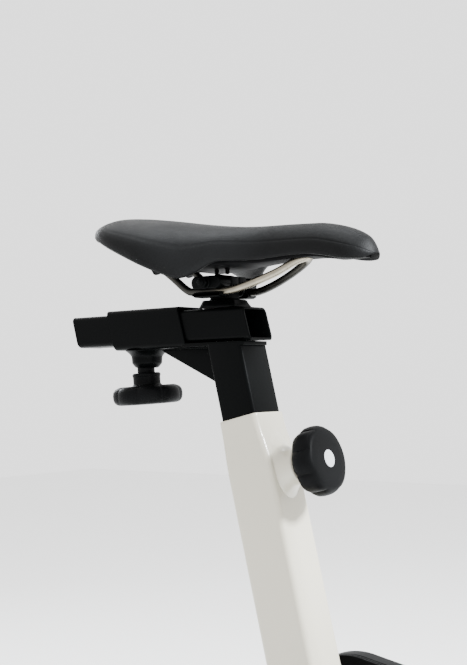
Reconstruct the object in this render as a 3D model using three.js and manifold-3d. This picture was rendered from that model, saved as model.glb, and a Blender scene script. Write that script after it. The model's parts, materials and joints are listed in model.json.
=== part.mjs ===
// Indoor exercise bike: a welded frame with a telescoping, sliding and tilting saddle, a belt-driven
// flywheel, a handlebar on its own telescoping post, pedals, transport wheels and levelling feet.
// Millimetres, +X forward, +Y left, +Z up, origin on the floor under the middle of the machine.
import * as THREE from 'three';
import Module from 'manifold-3d';
import { mergeVertices } from 'three/addons/utils/BufferGeometryUtils.js';

const wasm = await Module();
wasm.setup();

// ---------------------------------------------------------------- driving dimensions
const gap = 0.3; // between pieces that touch
const slideGap = 0.4; // around a piece that slides

const crankHeight = 300; // crank axis above the floor
const crankLength = 170;
const seatTubeReach = 360; // from the crank axis up the seat tube to its rim
const seatLean = 0.23; // radians, rim behind the crank
const rearReach = 400; // crank axis back to the rear stabiliser
const frontReach = 550; // crank axis forward to the front stabiliser
const axleReach = 425; // crank axis forward to the flywheel axle
const axleHeight = 310;
const headLean = 0.175; // radians, handlebar post behind vertical
const headRimHeight = 720;
const headFootHeight = 545; // lower end of the head tube, above the floor

const tube = { width: 46.4, depth: 48.2, wall: 2.2, corner: 7 }; // seat tube and head tube
const neck = { width: 45.4, depth: 41.2, shift: -1.8, length: 50, corner: 6.5 }; // tube's mouth
const post = { width: 41, depth: 36.4, shift: -1.7, wall: 2.5, corner: 5 };
const seatPost = { above: 0, inside: 300, holes: 9, holeStep: 25 };
const barPost = { above: 160, inside: 150, holes: 4, holeStep: 25 };
const pin = { radius: 4.5, below: 52 };
const pinKnob = { radius: 29.3, face: 66, thickness: 16, hubRadius: 13, hubLength: 5 };
const pinBoss = { radius: 21, reach: 40, mouth: 15 };

const slideBar = { rear: -194.5, front: 7.2, bottom: 67.4, height: 29.6, width: 36, wall: 2.4, corner: 2.5 };
const collar = { rear: -150.4, front: -63.7, bottom: 63.6, top: 100.6, width: 41, corner: 3.5, tongue: 0.5 };
const endSlant = 0.251; // radians, the ends of bar and collar are cut on this slant
const gusset = { back: -101, toe: 27, thickness: 7 };
const slideKnob = { x: -122, radius: 32, top: 28.2, bottom: 10.2, hubRadius: 13.2, hubTop: 40, bossRadius: 14.5 };
const slideBoss = { bottom: 47, screw: 5 };

const clamp = { x: -29, height: 119, coreRadius: 8.5, coreHalf: 11, length: 32, low: 106, high: 124.5, out: 29, bolt: 3 };
const mountFoot = { rear: -48, front: -9, width: 34, top: 104.5, shoulderLength: 36, shoulderWidth: 29,
  neckWidth: 20, neckLength: 24 };
const rail = { radius: 3.5, halfGauge: 20, boltGap: 0.5 };
rail.height = clamp.height - clamp.bolt - rail.boltGap - rail.radius; // runs just under the clamp bolt
const saddle = { nose: 129, tail: -142, halfWidth: 76, noseHalf: 22, crown: 10, ceiling: 138, plate: 4, plateGap: 2.8 };

const beam = { width: 40, height: 56, wall: 3, corner: 7, rise: 0.8 };
const rearLeg = { width: 40, height: 50, wall: 3, corner: 7 };
const shell = { radius: 25, halfWidth: 34, wall: 4 };
const fork = { thickness: 20, width: 46, boss: 30, topHeight: 640 };
const stabiliser = { depth: 60, height: 40, base: 26, halfLength: 240, wall: 2.5, corner: 12 };
const endCap = { length: 20, plug: 18 };
const foot = { radius: 21, height: 14, stud: 5, studTop: 44, inset: 30 };
const wheel = { radius: 25, width: 20, offset: 58, height: 33, y: 165, pin: 4, plate: 3 };

const flywheel = { radius: 190, rim: 30, rimDepth: 34, web: 12, hubRadius: 32, hubWidth: 34, axle: 8 };
const belt = { y: 59, width: 14, thickness: 3, clear: 0.9, bigRadius: 92, smallRadius: 25 };
const guard = { inner: 45.5, outer: 76, wall: 2.5, lobeRadius: 62, lobeX: -14, lobeZ: 78, crank: 108, fly: 46 };
const crank = { axle: 8.5, inner: 79, thickness: 14, bigEnd: 19, smallEnd: 14, armWidth: 22 };
const pedal = { length: 92, width: 84, height: 24, clear: 9, spindle: 6, bore: 7 };
const cage = { thickness: 2.5, rise: 58, reach: 44, width: 62, front: 14 };

const brake = { rod: 6, bore: 7.5, padLength: 60, padWidth: 24, padThickness: 9, clear: 2.5, knobOut: 318 };
const brakeKnob = { radius: 23, length: 34 };

const bar = { radius: 14, crossHalf: 105, crossRise: 20, horn: 190, hornRise: 55, hornHalf: 205 };
const grip = { radius: 17.5, length: 125 };
const barClamp = { length: 46, width: 60, height: 46 };

// ---------------------------------------------------------------- derived places
const rearEnd = -rearReach - stabiliser.depth / 2;
const frontEnd = frontReach + wheel.offset + wheel.radius;
const crankAxis = new THREE.Vector3(-(rearEnd + frontEnd) / 2, 0, crankHeight);
const seatRim = crankAxis.clone().add(
  new THREE.Vector3(-Math.sin(seatLean), 0, Math.cos(seatLean)).multiplyScalar(seatTubeReach));
const flyAxis = new THREE.Vector3(crankAxis.x + axleReach, 0, axleHeight);
const headRim = new THREE.Vector3(
  flyAxis.x - Math.tan(headLean) * (headRimHeight - axleHeight), 0, headRimHeight);
const rearStab = crankAxis.x - rearReach;
const frontStab = crankAxis.x + frontReach;
const stabMid = stabiliser.base + stabiliser.height / 2;
const pinMid = -pin.below;
const postFace = post.shift + post.depth / 2;
const beamAngle = Math.atan(beam.rise);
const brakeDirection = new THREE.Vector3(-Math.sin(beamAngle), 0, Math.cos(beamAngle));
const crankOuter = crank.inner + crank.thickness;
const pedalInner = crankOuter + pedal.clear;
const gripInset = 4;

// ---------------------------------------------------------------- materials
const finish = (color, roughness, metalness) => new THREE.MeshStandardMaterial({ color, roughness, metalness });
const paint = finish(0xe4e2dc, 0.35, 0.1);
const blackSteel = finish(0x26292a, 0.45, 0.3);
const blackPlastic = finish(0x232526, 0.6, 0);
const steel = finish(0xb9b7ae, 0.35, 0.9);
const castIron = finish(0x5a5c5e, 0.5, 0.8);
const rubber = finish(0x1c1c1c, 0.85, 0);
const leatherette = finish(0x3a3b3d, 0.7, 0);
const foam = finish(0x202122, 0.9, 0);
const aluminium = finish(0xa9abad, 0.4, 0.9);

// ---------------------------------------------------------------- solids
const toSolid = (geometry) => {
  const bare = geometry.clone();
  bare.deleteAttribute('normal');
  bare.deleteAttribute('uv');
  const merged = mergeVertices(bare, 1e-4);
  const mesh = new wasm.Mesh({
    numProp: 3,
    vertProperties: new Float32Array(merged.attributes.position.array),
    triVerts: new Uint32Array(merged.index.array),
  });
  return new wasm.Manifold(mesh);
};

const toGeometry = (solid) => {
  const mesh = solid.getMesh();
  const geometry = new THREE.BufferGeometry();
  geometry.setAttribute('position', new THREE.BufferAttribute(new Float32Array(mesh.vertProperties), 3));
  geometry.setIndex(new THREE.BufferAttribute(new Uint32Array(mesh.triVerts), 1));
  geometry.computeVertexNormals();
  return geometry;
};

const cut = (body, ...tools) => toGeometry(tools.reduce((s, t) => s.subtract(toSolid(t)), toSolid(body)));
// A coped tube: cut, then only the longest piece kept, as the offcut falls away.
const cope = (body, ...tools) => {
  const pieces = tools.reduce((s, t) => s.subtract(toSolid(t)), toSolid(body)).decompose();
  return toGeometry(pieces.reduce((best, next) => (next.volume() > best.volume() ? next : best)));
};
const join = (first, ...rest) => toGeometry(rest.reduce((s, t) => s.add(toSolid(t)), toSolid(first)));
const moved = (geometry, matrix) => geometry.clone().applyMatrix4(matrix);

// A frame at a point, turned about Y so that its Z leans back by `lean`.
const leaning = (point, lean) => new THREE.Matrix4().makeRotationY(-lean).setPosition(point);

// Rounded rectangle centred on (x, y), `a` along X and `b` along Y.
function roundRect(a, b, r, x = 0, y = 0) {
  const shape = new THREE.Shape();
  const corners = [[1, 1, 0], [-1, 1, 1], [-1, -1, 2], [1, -1, 3]];
  for (const [sx, sy, quarter] of corners) {
    const start = quarter * Math.PI / 2;
    shape.absarc(x + sx * (a / 2 - r), y + sy * (b / 2 - r), r, start, start + Math.PI / 2, false);
  }
  return shape;
}

// Prism of a shape in X and Y, standing from z = low to z = high.
function prism(shape, low, high, segments = 1) {
  const geometry = new THREE.ExtrudeGeometry(shape, { depth: high - low, bevelEnabled: false, curveSegments: segments });
  return geometry.translate(0, 0, low);
}

function tubePrism(a, b, r, wall, low, high) {
  const shape = roundRect(a, b, r);
  shape.holes.push(roundRect(a - 2 * wall, b - 2 * wall, Math.max(r - wall, 1)));
  return prism(shape, low, high);
}

// Disc or rod along an axis, from one place on it to another.
function rod(radius, axis, from, to, segments = 16) {
  const geometry = new THREE.CylinderGeometry(radius, radius, to - from, segments);
  geometry.translate(0, (from + to) / 2, 0);
  if (axis === 'x') geometry.rotateZ(-Math.PI / 2);
  if (axis === 'z') geometry.rotateX(Math.PI / 2);
  return geometry;
}

// Turned piece: profile points are [radius, place on the axis].
function turned(profile, axis, segments = 28) {
  const geometry = new THREE.LatheGeometry(profile.map(([r, h]) => new THREE.Vector2(r, h)), segments);
  if (axis === 'x') geometry.rotateZ(-Math.PI / 2);
  if (axis === 'z') geometry.rotateX(Math.PI / 2);
  return geometry;
}

// Plate in the XZ plane from a shape drawn in x and z, `from` and `to` along Y.
function plateY(shape, from, to, segments = 2) {
  const geometry = prism(shape, -to, -from, segments);
  return geometry.rotateX(Math.PI / 2);
}

const circleShape = (x, y, r) => new THREE.Shape().absarc(x, y, r, 0, 2 * Math.PI, false);

// Outline that wraps a set of circles as a taut band does.
function bandOutline(circles, grow, steps = 40) {
  const points = [];
  for (const [x, y, r] of circles) {
    for (let i = 0; i < steps; i++) {
      const t = 2 * Math.PI * i / steps;
      points.push(new THREE.Vector2(x + (r + grow) * Math.cos(t), y + (r + grow) * Math.sin(t)));
    }
  }
  points.sort((p, q) => p.x - q.x || p.y - q.y);
  const turn = (o, p, q) => (p.x - o.x) * (q.y - o.y) - (p.y - o.y) * (q.x - o.x);
  const half = (list) => {
    const hull = [];
    for (const p of list) {
      while (hull.length > 1 && turn(hull[hull.length - 2], hull[hull.length - 1], p) <= 1e-9) hull.pop();
      hull.push(p);
    }
    hull.pop();
    return hull;
  };
  return new THREE.Shape([...half(points), ...half(points.reverse())]);
}

// Closed skin over rings of equal length; the last ring is capped and so is the first.
function loft(rings) {
  const count = rings[0].length;
  const positions = rings.flat().flatMap((p) => [p.x, p.y, p.z]);
  const index = [];
  for (let i = 0; i + 1 < rings.length; i++) {
    for (let j = 0; j < count; j++) {
      const a = i * count + j;
      const b = i * count + (j + 1) % count;
      index.push(a, b, b + count, a, b + count, a + count);
    }
  }
  const last = (rings.length - 1) * count;
  for (let j = 1; j + 1 < count; j++) {
    index.push(0, j + 1, j);
    index.push(last, last + j, last + j + 1);
  }
  const geometry = new THREE.BufferGeometry();
  geometry.setAttribute('position', new THREE.Float32BufferAttribute(positions, 3));
  geometry.setIndex(index);
  geometry.computeVertexNormals();
  return geometry;
}

const ringOf = (shape, z, segments) => shape.extractPoints(segments).shape.slice(0)
  .filter((p, i, all) => i === 0 || p.distanceTo(all[i - 1]) > 1e-6)
  .filter((p, i, all) => i < all.length - 1 || p.distanceTo(all[0]) > 1e-6)
  .map((p) => new THREE.Vector3(p.x, p.y, z));

// Rod that follows a path.
function wire(curve, radius, steps, sides) {
  return new THREE.ExtrudeGeometry(circleShape(0, 0, radius), {
    steps, bevelEnabled: false, extrudePath: curve, curveSegments: sides,
  });
}

// ---------------------------------------------------------------- scene
const bike = new THREE.Group();

function piece(parent, name, geometry, material) {
  const mesh = new THREE.Mesh(geometry, material);
  mesh.name = name;
  parent.add(mesh);
  return mesh;
}

function groupAt(point, lean = 0) {
  const group = new THREE.Group();
  group.position.copy(point);
  group.rotation.y = -lean;
  bike.add(group);
  return group;
}

// ---------------------------------------------------------------- telescoping tube and post
// The tube's local Z runs up its axis from the mouth at z = 0; local X faces the bike's front.
function mouthTube(length) {
  const mouth = roundRect(neck.depth, neck.width, neck.corner, neck.shift);
  const low = roundRect(tube.depth, tube.width, tube.corner);
  const body = loft([ringOf(low, -length, 2), ringOf(low, -neck.length, 2), ringOf(mouth, 0, 2)]);
  const boss = turned([[0, 8], [pinBoss.radius, 8], [pinBoss.radius, 26], [pinBoss.mouth, pinBoss.reach],
    [0, pinBoss.reach]], 'x', 20).translate(0, 0, pinMid);
  const guide = prism(
    roundRect(post.depth + 2 * slideGap, post.width + 2 * slideGap, post.corner, post.shift), -length - 1, 1);
  const inside = prism(
    roundRect(tube.depth - 2 * tube.wall, tube.width - 2 * tube.wall, tube.corner - tube.wall),
    -length - 1, -neck.length - 30);
  const bore = rod(pin.radius + gap, 'x', 0, pinBoss.reach + 1, 16).translate(0, 0, pinMid);
  return cut(join(body, boss), guide, inside, bore);
}

function postTube({ above, inside, holes, holeStep }) {
  const body = tubePrism(post.depth, post.width, post.corner, post.wall, -inside, above).translate(post.shift, 0, 0);
  const drills = Array.from({ length: holes }, (_, i) =>
    rod(pin.radius + gap, 'x', 5, post.depth, 8).translate(0, 0, pinMid - i * holeStep));
  return cut(body, ...drills);
}

const lockPin = () => rod(pin.radius, 'x', postFace + slideGap, pinKnob.face - 6, 16).translate(0, 0, pinMid);

// Round knob with a scalloped edge, turned about X, its face at pinKnob.face.
function scallopedShape(radius, lobes, depth) {
  const steps = lobes * 4;
  const points = Array.from({ length: steps }, (_, i) => {
    const t = 2 * Math.PI * i / steps;
    const r = radius - depth * 0.5 * (1 - Math.cos(lobes * t));
    return new THREE.Vector2(r * Math.cos(t), r * Math.sin(t));
  });
  return new THREE.Shape(points);
}

function lockKnob() {
  const head = prism(scallopedShape(pinKnob.radius, 8, 2.2), pinKnob.face - pinKnob.thickness, pinKnob.face);
  const hub = rod(pinKnob.hubRadius, 'z', pinBoss.reach + 1.2, pinKnob.face - 1, 24);
  const bore = rod(pin.radius + gap, 'z', 0, pinKnob.face - 6 + gap, 16);
  return cut(join(head, hub), bore).rotateY(Math.PI / 2).translate(0, 0, pinMid);
}

// ---------------------------------------------------------------- frame tubes
// Straight box tube in the XZ plane between two points, before its ends are coped.
function boxTube(from, to, { width, height, wall, corner }, grow = 0) {
  const along = to.clone().sub(from);
  const length = along.length();
  const shape = roundRect(height + 2 * grow, width + 2 * grow, corner + grow);
  if (wall && grow === 0) shape.holes.push(roundRect(height - 2 * wall, width - 2 * wall, corner - wall));
  const tilt = Math.atan2(along.x, along.z);
  return prism(shape, -grow, length + grow).rotateY(tilt).translate(from.x, from.y, from.z);
}

const crankShellSolid = (grow) => rod(shell.radius + grow, 'y', -shell.halfWidth, shell.halfWidth, 32)
  .translate(crankAxis.x, 0, crankAxis.z);

const seatTubeLength = seatTubeReach;
const seatTubeOuter = moved(
  prism(roundRect(tube.depth + 2 * gap, tube.width + 2 * gap, tube.corner), -seatTubeLength, -neck.length, 2),
  leaning(seatRim, seatLean));
const headTubeLength = (headRimHeight - headFootHeight) / Math.cos(headLean);
const headTubeOuter = moved(
  prism(roundRect(tube.depth + 2 * gap, tube.width + 2 * gap, tube.corner), -headTubeLength - 40, -10, 2),
  leaning(headRim, headLean));

function seatTube() {
  const coping = moved(crankShellSolid(gap), leaning(seatRim, seatLean).invert());
  return cope(mouthTube(seatTubeLength), coping);
}

function mainBeam() {
  const end = new THREE.Vector3(headRim.x + 30, 0, crankAxis.z + beam.rise * (headRim.x + 30 - crankAxis.x));
  const body = boxTube(crankAxis, end, beam);
  const drill = moved(rod(brake.bore, 'z', 150, 360, 20), leaning(flyAxis, beamAngle));
  const beyond = prism(roundRect(120, 120, 1), -200, 200)
    .translate(-60 + 120, 0, 0);
  const farSide = moved(beyond, leaning(headRim, headLean));
  return cope(body, crankShellSolid(gap), seatTubeOuter, headTubeOuter, farSide, drill);
}

function rearLegTube() {
  const foot = new THREE.Vector3(rearStab, 0, stabMid);
  const body = boxTube(crankAxis, foot, rearLeg);
  const beamSolid = boxTube(crankAxis, crankAxis.clone().add(new THREE.Vector3(300, 0, 300 * beam.rise)),
    { ...beam, wall: 0 }, gap);
  return cope(body, crankShellSolid(gap), seatTubeOuter, beamSolid, stabiliserSolid(rearStab, gap));
}

function stabiliserSolid(x, grow) {
  return prism(roundRect(stabiliser.height + 2 * grow, stabiliser.depth + 2 * grow, stabiliser.corner),
    -stabiliser.halfLength, stabiliser.halfLength, 2)
    .rotateY(Math.PI / 2).rotateZ(Math.PI / 2).translate(x, 0, stabMid);
}

function stabiliserTube(x) {
  const inner = prism(
    roundRect(stabiliser.height - 2 * stabiliser.wall, stabiliser.depth - 2 * stabiliser.wall,
      stabiliser.corner - stabiliser.wall),
    -stabiliser.halfLength - 1, stabiliser.halfLength + 1, 2)
    .rotateY(Math.PI / 2).rotateZ(Math.PI / 2).translate(x, 0, stabMid);
  const studs = [-1, 1].map((side) => rod(foot.stud + gap, 'z', 0, stabMid, 16)
    .translate(x, side * (stabiliser.halfLength - foot.inset), 0));
  return cut(stabiliserSolid(x, 0), inner, ...studs);
}

// Wheel brackets are welded to the front stabiliser: two plates and a stub axle for each wheel.
function frontStabiliserTube() {
  const welded = [];
  for (const side of [-1, 1]) {
    for (const edge of [-1, 1]) {
      const middle = side * wheel.y + edge * (wheel.width / 2 + 1.5 + wheel.plate / 2);
      const outline = bandOutline(
        [[frontStab + stabiliser.depth / 2 - 1.5, stabMid, 12], [frontStab + wheel.offset, wheel.height, 9]], 0, 10);
      const plate = plateY(outline, middle - wheel.plate / 2, middle + wheel.plate / 2);
      welded.push(cut(plate, stabiliserSolid(frontStab, -1)));
    }
    const reach = wheel.width / 2 + wheel.plate + 4;
    welded.push(rod(wheel.pin, 'y', side * wheel.y - reach, side * wheel.y + reach, 14)
      .translate(frontStab + wheel.offset, 0, wheel.height));
  }
  return join(stabiliserTube(frontStab), ...welded);
}

function capSolid(side) {
  const outer = roundRect(stabiliser.height, stabiliser.depth, stabiliser.corner);
  const plug = roundRect(stabiliser.height - 2 * stabiliser.wall - 2 * gap,
    stabiliser.depth - 2 * stabiliser.wall - 2 * gap, stabiliser.corner - stabiliser.wall);
  const from = stabiliser.halfLength;
  const cap = new THREE.ExtrudeGeometry(outer, {
    depth: endCap.length - 4, curveSegments: 2, bevelThickness: 4, bevelSize: 4, bevelOffset: -4, bevelSegments: 1,
  }).translate(0, 0, from + gap + 4);
  const flat = prism(outer, from + gap, from + gap + 10, 2);
  const inner = prism(plug, from - endCap.plug, from + gap + 1, 2);
  const whole = join(join(cap, flat), inner);
  whole.rotateY(Math.PI / 2).rotateZ(Math.PI / 2);
  return side > 0 ? whole : whole.rotateZ(Math.PI);
}

// Fork leg: a flat tube from the head tube down past the axle and on to the front stabiliser.
function forkLeg(side) {
  const top = new THREE.Vector3(
    flyAxis.x - Math.tan(headLean) * (fork.topHeight - axleHeight), 0, fork.topHeight);
  const foot = new THREE.Vector3(frontStab, 0, stabMid);
  const section = { width: fork.thickness, height: fork.width, corner: 5 };
  const upper = boxTube(flyAxis, top, section);
  const lower = boxTube(flyAxis, foot, section);
  const boss = rod(fork.boss, 'y', -fork.thickness / 2, fork.thickness / 2, 20).translate(flyAxis.x, 0, flyAxis.z);
  const shift = side * (tube.width / 2 + gap + fork.thickness / 2);
  const blade = join(upper, lower, boss).translate(0, shift, 0);
  const axle = rod(flywheel.axle + gap, 'y', -100, 100, 20).translate(flyAxis.x, 0, flyAxis.z);
  return cope(blade, axle, stabiliserSolid(frontStab, gap));
}

// ---------------------------------------------------------------- frame assembly
const seatFrame = groupAt(seatRim, seatLean);
piece(seatFrame, 'seat_tube', seatTube(), paint);
const headFrame = groupAt(headRim, headLean);
piece(headFrame, 'head_tube', mouthTube(headTubeLength), paint);
piece(bike, 'main_beam', mainBeam(), paint);
piece(bike, 'rear_leg', rearLegTube(), paint);
piece(bike, 'crank_shell', cut(crankShellSolid(0),
  rod(crank.axle + gap, 'y', -100, 100, 24).translate(crankAxis.x, 0, crankAxis.z)), paint);
piece(bike, 'fork_left', forkLeg(1), paint);
piece(bike, 'fork_right', forkLeg(-1), paint);
piece(bike, 'rear_stabiliser', stabiliserTube(rearStab), paint);
piece(bike, 'front_stabiliser', frontStabiliserTube(), paint);
for (const [end, x] of [['rear', rearStab], ['front', frontStab]]) {
  for (const [name, side] of [['left', 1], ['right', -1]]) {
    const holder = groupAt(new THREE.Vector3(x, 0, stabMid));
    piece(holder, `${end}_cap_${name}`, capSolid(side), blackPlastic);
    const stand = groupAt(new THREE.Vector3(x, side * (stabiliser.halfLength - foot.inset), 0));
    piece(stand, `${end}_foot_${name}`, turned([[0, 0], [foot.radius, 0], [foot.radius, 5],
      [foot.radius - 8, foot.height], [foot.stud, foot.height], [foot.stud, foot.studTop], [0, foot.studTop]],
    'z', 18), rubber);
  }
}
for (const [name, side] of [['left', 1], ['right', -1]]) {
  const hub = groupAt(new THREE.Vector3(frontStab + wheel.offset, side * wheel.y, wheel.height));
  const half = wheel.width / 2;
  piece(hub, `transport_wheel_${name}`, turned([[wheel.pin + gap, -half], [wheel.radius - 2, -half],
    [wheel.radius, 2 - half], [wheel.radius, half - 2], [wheel.radius - 2, half], [wheel.pin + gap, half],
    [wheel.pin + gap, -half]], 'y', 22), rubber);
}

// ---------------------------------------------------------------- drive
const drive = groupAt(crankAxis);
const fly = groupAt(flyAxis);
const flyOffset = [flyAxis.x - crankAxis.x, flyAxis.z - crankAxis.z];

function flywheelSolid() {
  const inner = flywheel.radius - flywheel.rimDepth;
  const [rim, web, hub] = [flywheel.rim / 2, flywheel.web / 2, flywheel.hubWidth / 2];
  const bore = flywheel.axle + gap;
  return turned([[bore, -hub], [flywheel.hubRadius, -hub], [flywheel.hubRadius + 3, -web], [inner - 6, -web],
    [inner, -rim], [flywheel.radius - 3, -rim], [flywheel.radius, 3 - rim], [flywheel.radius, rim - 3],
    [flywheel.radius - 3, rim], [inner, rim], [inner - 6, web], [flywheel.hubRadius + 3, web],
    [flywheel.hubRadius, hub], [bore, hub], [bore, -hub]], 'y', 30);
}

function pulleySolid(radius, bore) {
  const half = belt.width / 2;
  return turned([[bore, -half], [radius, -half], [radius, half], [bore, half], [bore, -half]], 'y', 24);
}

function crankArm(side) {
  const direction = -side; // right crank forward
  const outline = bandOutline([[0, 0, crank.bigEnd], [direction * crankLength, 0, crank.smallEnd]], 0, 18);
  const low = side > 0 ? crank.inner : -crankOuter;
  const arm = plateY(outline, low, low + crank.thickness);
  const axle = rod(crank.axle + gap, 'y', -200, 200, 20);
  const spindle = rod(pedal.spindle + gap, 'y', -200, 200, 16).translate(direction * crankLength, 0, 0);
  return cut(arm, axle, spindle);
}

function pedalBody() {
  const half = pedal.height / 2;
  const shape = roundRect(pedal.length, pedal.height, half - 1);
  const body = plateY(shape, 0, pedal.width);
  const bore = rod(pedal.spindle + gap, 'y', -1, pedal.width - 8, 16);
  const windows = [-1, 1].map((side) => prism(roundRect(18, pedal.width - 26, 5), -30, 30)
    .translate(side * 26, pedal.width / 2, 0));
  return cut(body, bore, ...windows);
}

// Toe cage: a strap of steel that rises from the pedal's front edge and curls back over the toes.
function toeCage() {
  const front = pedal.length / 2 + gap;
  const t = cage.thickness;
  const outer = new THREE.Shape();
  outer.moveTo(front, -7);
  outer.lineTo(front + t, -7);
  outer.bezierCurveTo(front + cage.front, 6, front + cage.front, cage.rise - 14, front - 8, cage.rise);
  outer.lineTo(front - cage.reach, cage.rise + 4);
  outer.lineTo(front - cage.reach, cage.rise + 4 - t);
  outer.lineTo(front - 9, cage.rise - t);
  outer.bezierCurveTo(front + cage.front - t - 1, cage.rise - 16, front + cage.front - t - 1, 8, front, -1);
  outer.closePath();
  const middle = pedal.width / 2;
  return plateY(outer, middle - cage.width / 2, middle + cage.width / 2, 6);
}

piece(fly, 'flywheel', flywheelSolid(), castIron);
const forkOuter = tube.width / 2 + gap + fork.thickness;
piece(fly, 'flywheel_axle', join(rod(flywheel.axle, 'y', -forkOuter - 8, belt.y + belt.width / 2 + 4, 20),
  rod(14, 'y', -forkOuter - 7, -forkOuter - gap, 6)), steel);
piece(fly, 'flywheel_pulley', pulleySolid(belt.smallRadius, flywheel.axle + gap)
  .translate(0, belt.y, 0), blackSteel);
piece(drive, 'crank_axle', rod(crank.axle, 'y', -crankOuter - 2, crankOuter + 2, 20), steel);
piece(drive, 'crank_pulley', pulleySolid(belt.bigRadius, crank.axle + gap).translate(0, belt.y, 0), blackSteel);

const beltCircles = [[0, 0, belt.bigRadius], [...flyOffset, belt.smallRadius]];
const beltOutline = bandOutline(beltCircles, belt.clear + belt.thickness, 28);
beltOutline.holes.push(bandOutline(beltCircles, belt.clear, 28));
piece(drive, 'drive_belt', plateY(beltOutline, belt.y - belt.width / 2 + 1, belt.y + belt.width / 2 - 1), rubber);

const guardCircles = [[0, 0, guard.crank], [guard.lobeX, guard.lobeZ, guard.lobeRadius], [...flyOffset, guard.fly]];
const guardInner = bandOutline(guardCircles, 0, 26);
guardInner.holes.push(circleShape(0, 0, 24));
guardInner.holes.push(circleShape(...flyOffset, 20));
piece(drive, 'belt_guard_inner', plateY(guardInner, guard.inner, guard.inner + guard.wall, 12), blackPlastic);

function guardOuterSolid() {
  const depth = guard.outer - guard.inner - guard.wall - gap;
  const round = 5;
  const outside = new THREE.ExtrudeGeometry(bandOutline(guardCircles, 0, 26), {
    depth: depth - round, bevelThickness: round, bevelSize: round, bevelOffset: -round, bevelSegments: 2,
  }).rotateX(Math.PI / 2).translate(0, guard.outer - round, 0);
  const start = guard.inner + guard.wall + gap;
  const hollow = plateY(bandOutline(guardCircles, -guard.wall - 0.5, 26), 0, guard.outer - guard.wall);
  const below = plateY(circleShape(180, 0, 600), -100, start, 8);
  const hole = rod(16, 'y', 0, 100, 24);
  return cut(outside, hollow, below, hole);
}
piece(drive, 'belt_guard_outer', guardOuterSolid(), blackPlastic);

for (const [name, side] of [['left', 1], ['right', -1]]) {
  piece(drive, `crank_${name}`, crankArm(side), aluminium);
  const end = groupAt(crankAxis.clone().add(new THREE.Vector3(-side * crankLength, side * pedalInner, 0)));
  const spindle = rod(pedal.spindle, 'y', -pedal.clear - crank.thickness + 1, pedal.width - 9, 16);
  const turn = side > 0 ? 0 : Math.PI;
  for (const [part, geometry, material] of [
    ['pedal_spindle', spindle, steel], ['pedal', pedalBody(), blackPlastic], ['toe_cage', toeCage(), blackSteel]]) {
    if (turn) {
      geometry.rotateZ(turn);
      if (part === 'toe_cage') geometry.rotateZ(Math.PI).translate(0, -pedal.width, 0);
    }
    piece(end, `${part}_${name}`, geometry, material);
  }
}

// ---------------------------------------------------------------- brake
const brakeFrame = groupAt(flyAxis, beamAngle);
const padStart = flywheel.radius + brake.clear;
const padSaddle = rod(padStart, 'y', -50, 50, 80);
const padBlock = prism(roundRect(brake.padLength, brake.padWidth, 3), padStart - 6, padStart + brake.padThickness);
piece(brakeFrame, 'brake_pad', cut(padBlock, padSaddle), rubber);
const rodStart = padStart + brake.padThickness + gap;
piece(brakeFrame, 'brake_rod', join(prism(roundRect(brake.padLength - 10, brake.padWidth - 4, 3), rodStart, rodStart + 4),
  rod(brake.rod, 'z', rodStart + 1, brake.knobOut + 12, 20)), steel);
piece(brakeFrame, 'resistance_knob', cut(
  prism(scallopedShape(brakeKnob.radius, 6, 3), brake.knobOut, brake.knobOut + brakeKnob.length),
  rod(brake.rod + gap, 'z', brake.knobOut - 1, brake.knobOut + 12 + gap, 20)), blackPlastic);

// ---------------------------------------------------------------- handlebar
piece(headFrame, 'handlebar_post', postTube(barPost), blackSteel);
piece(headFrame, 'handlebar_pin', lockPin(), steel);
piece(headFrame, 'handlebar_knob', lockKnob(), blackPlastic);

function barPath() {
  const path = new THREE.CurvePath();
  const rise = barPost.above + barClamp.height / 2 + gap;
  const at = (x, y, z) => new THREE.Vector3(x, y, rise + z);
  const tip = (side) => at(bar.horn, side * bar.hornHalf, bar.hornRise);
  const bend = (side) => at(10, side * (bar.hornHalf - 10), bar.crossRise);
  const knee = (side) => at(70, side * bar.hornHalf, bar.crossRise + 18);
  const cross = (side) => at(0, side * bar.crossHalf, 0);
  path.add(new THREE.LineCurve3(tip(1), knee(1)));
  path.add(new THREE.QuadraticBezierCurve3(knee(1), bend(1), cross(1)));
  path.add(new THREE.LineCurve3(cross(1), cross(-1)));
  path.add(new THREE.QuadraticBezierCurve3(cross(-1), bend(-1), knee(-1)));
  path.add(new THREE.LineCurve3(knee(-1), tip(-1)));
  return path;
}

const handlebar = wire(barPath(), bar.radius, 36, 6);
piece(headFrame, 'handlebar', handlebar, blackSteel);

const clampLow = barPost.above + gap;
const clampBlock = prism(roundRect(barClamp.length, barClamp.width, 8), clampLow, clampLow + barClamp.height);
piece(headFrame, 'handlebar_clamp', cut(clampBlock, wire(barPath(), bar.radius + gap, 36, 6)), blackSteel);

for (const [name, side] of [['left', 1], ['right', -1]]) {
  const rise = barPost.above + barClamp.height / 2 + gap;
  const tip = new THREE.Vector3(bar.horn, side * bar.hornHalf, rise + bar.hornRise);
  const knee = new THREE.Vector3(70, side * bar.hornHalf, rise + bar.crossRise + 18);
  const along = knee.clone().sub(tip).normalize();
  const sleeve = circleShape(0, 0, grip.radius);
  sleeve.holes.push(circleShape(0, 0, bar.radius + 0.8));
  const straight = tip.distanceTo(knee) - gripInset * 2;
  const geometry = prism(sleeve, 0, Math.min(grip.length, straight), 10);
  geometry.rotateY(Math.atan2(along.x, along.z));
  const start = tip.clone().addScaledVector(along, gripInset);
  piece(headFrame, `grip_${name}`, geometry.translate(start.x, start.y, start.z), foam);
}

// ---------------------------------------------------------------- seat head
// Level frame at the seat tube's mouth.
const seatHead = groupAt(seatRim);
piece(seatFrame, 'height_pin', lockPin(), steel);
piece(seatFrame, 'height_knob', lockKnob(), blackPlastic);

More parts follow.
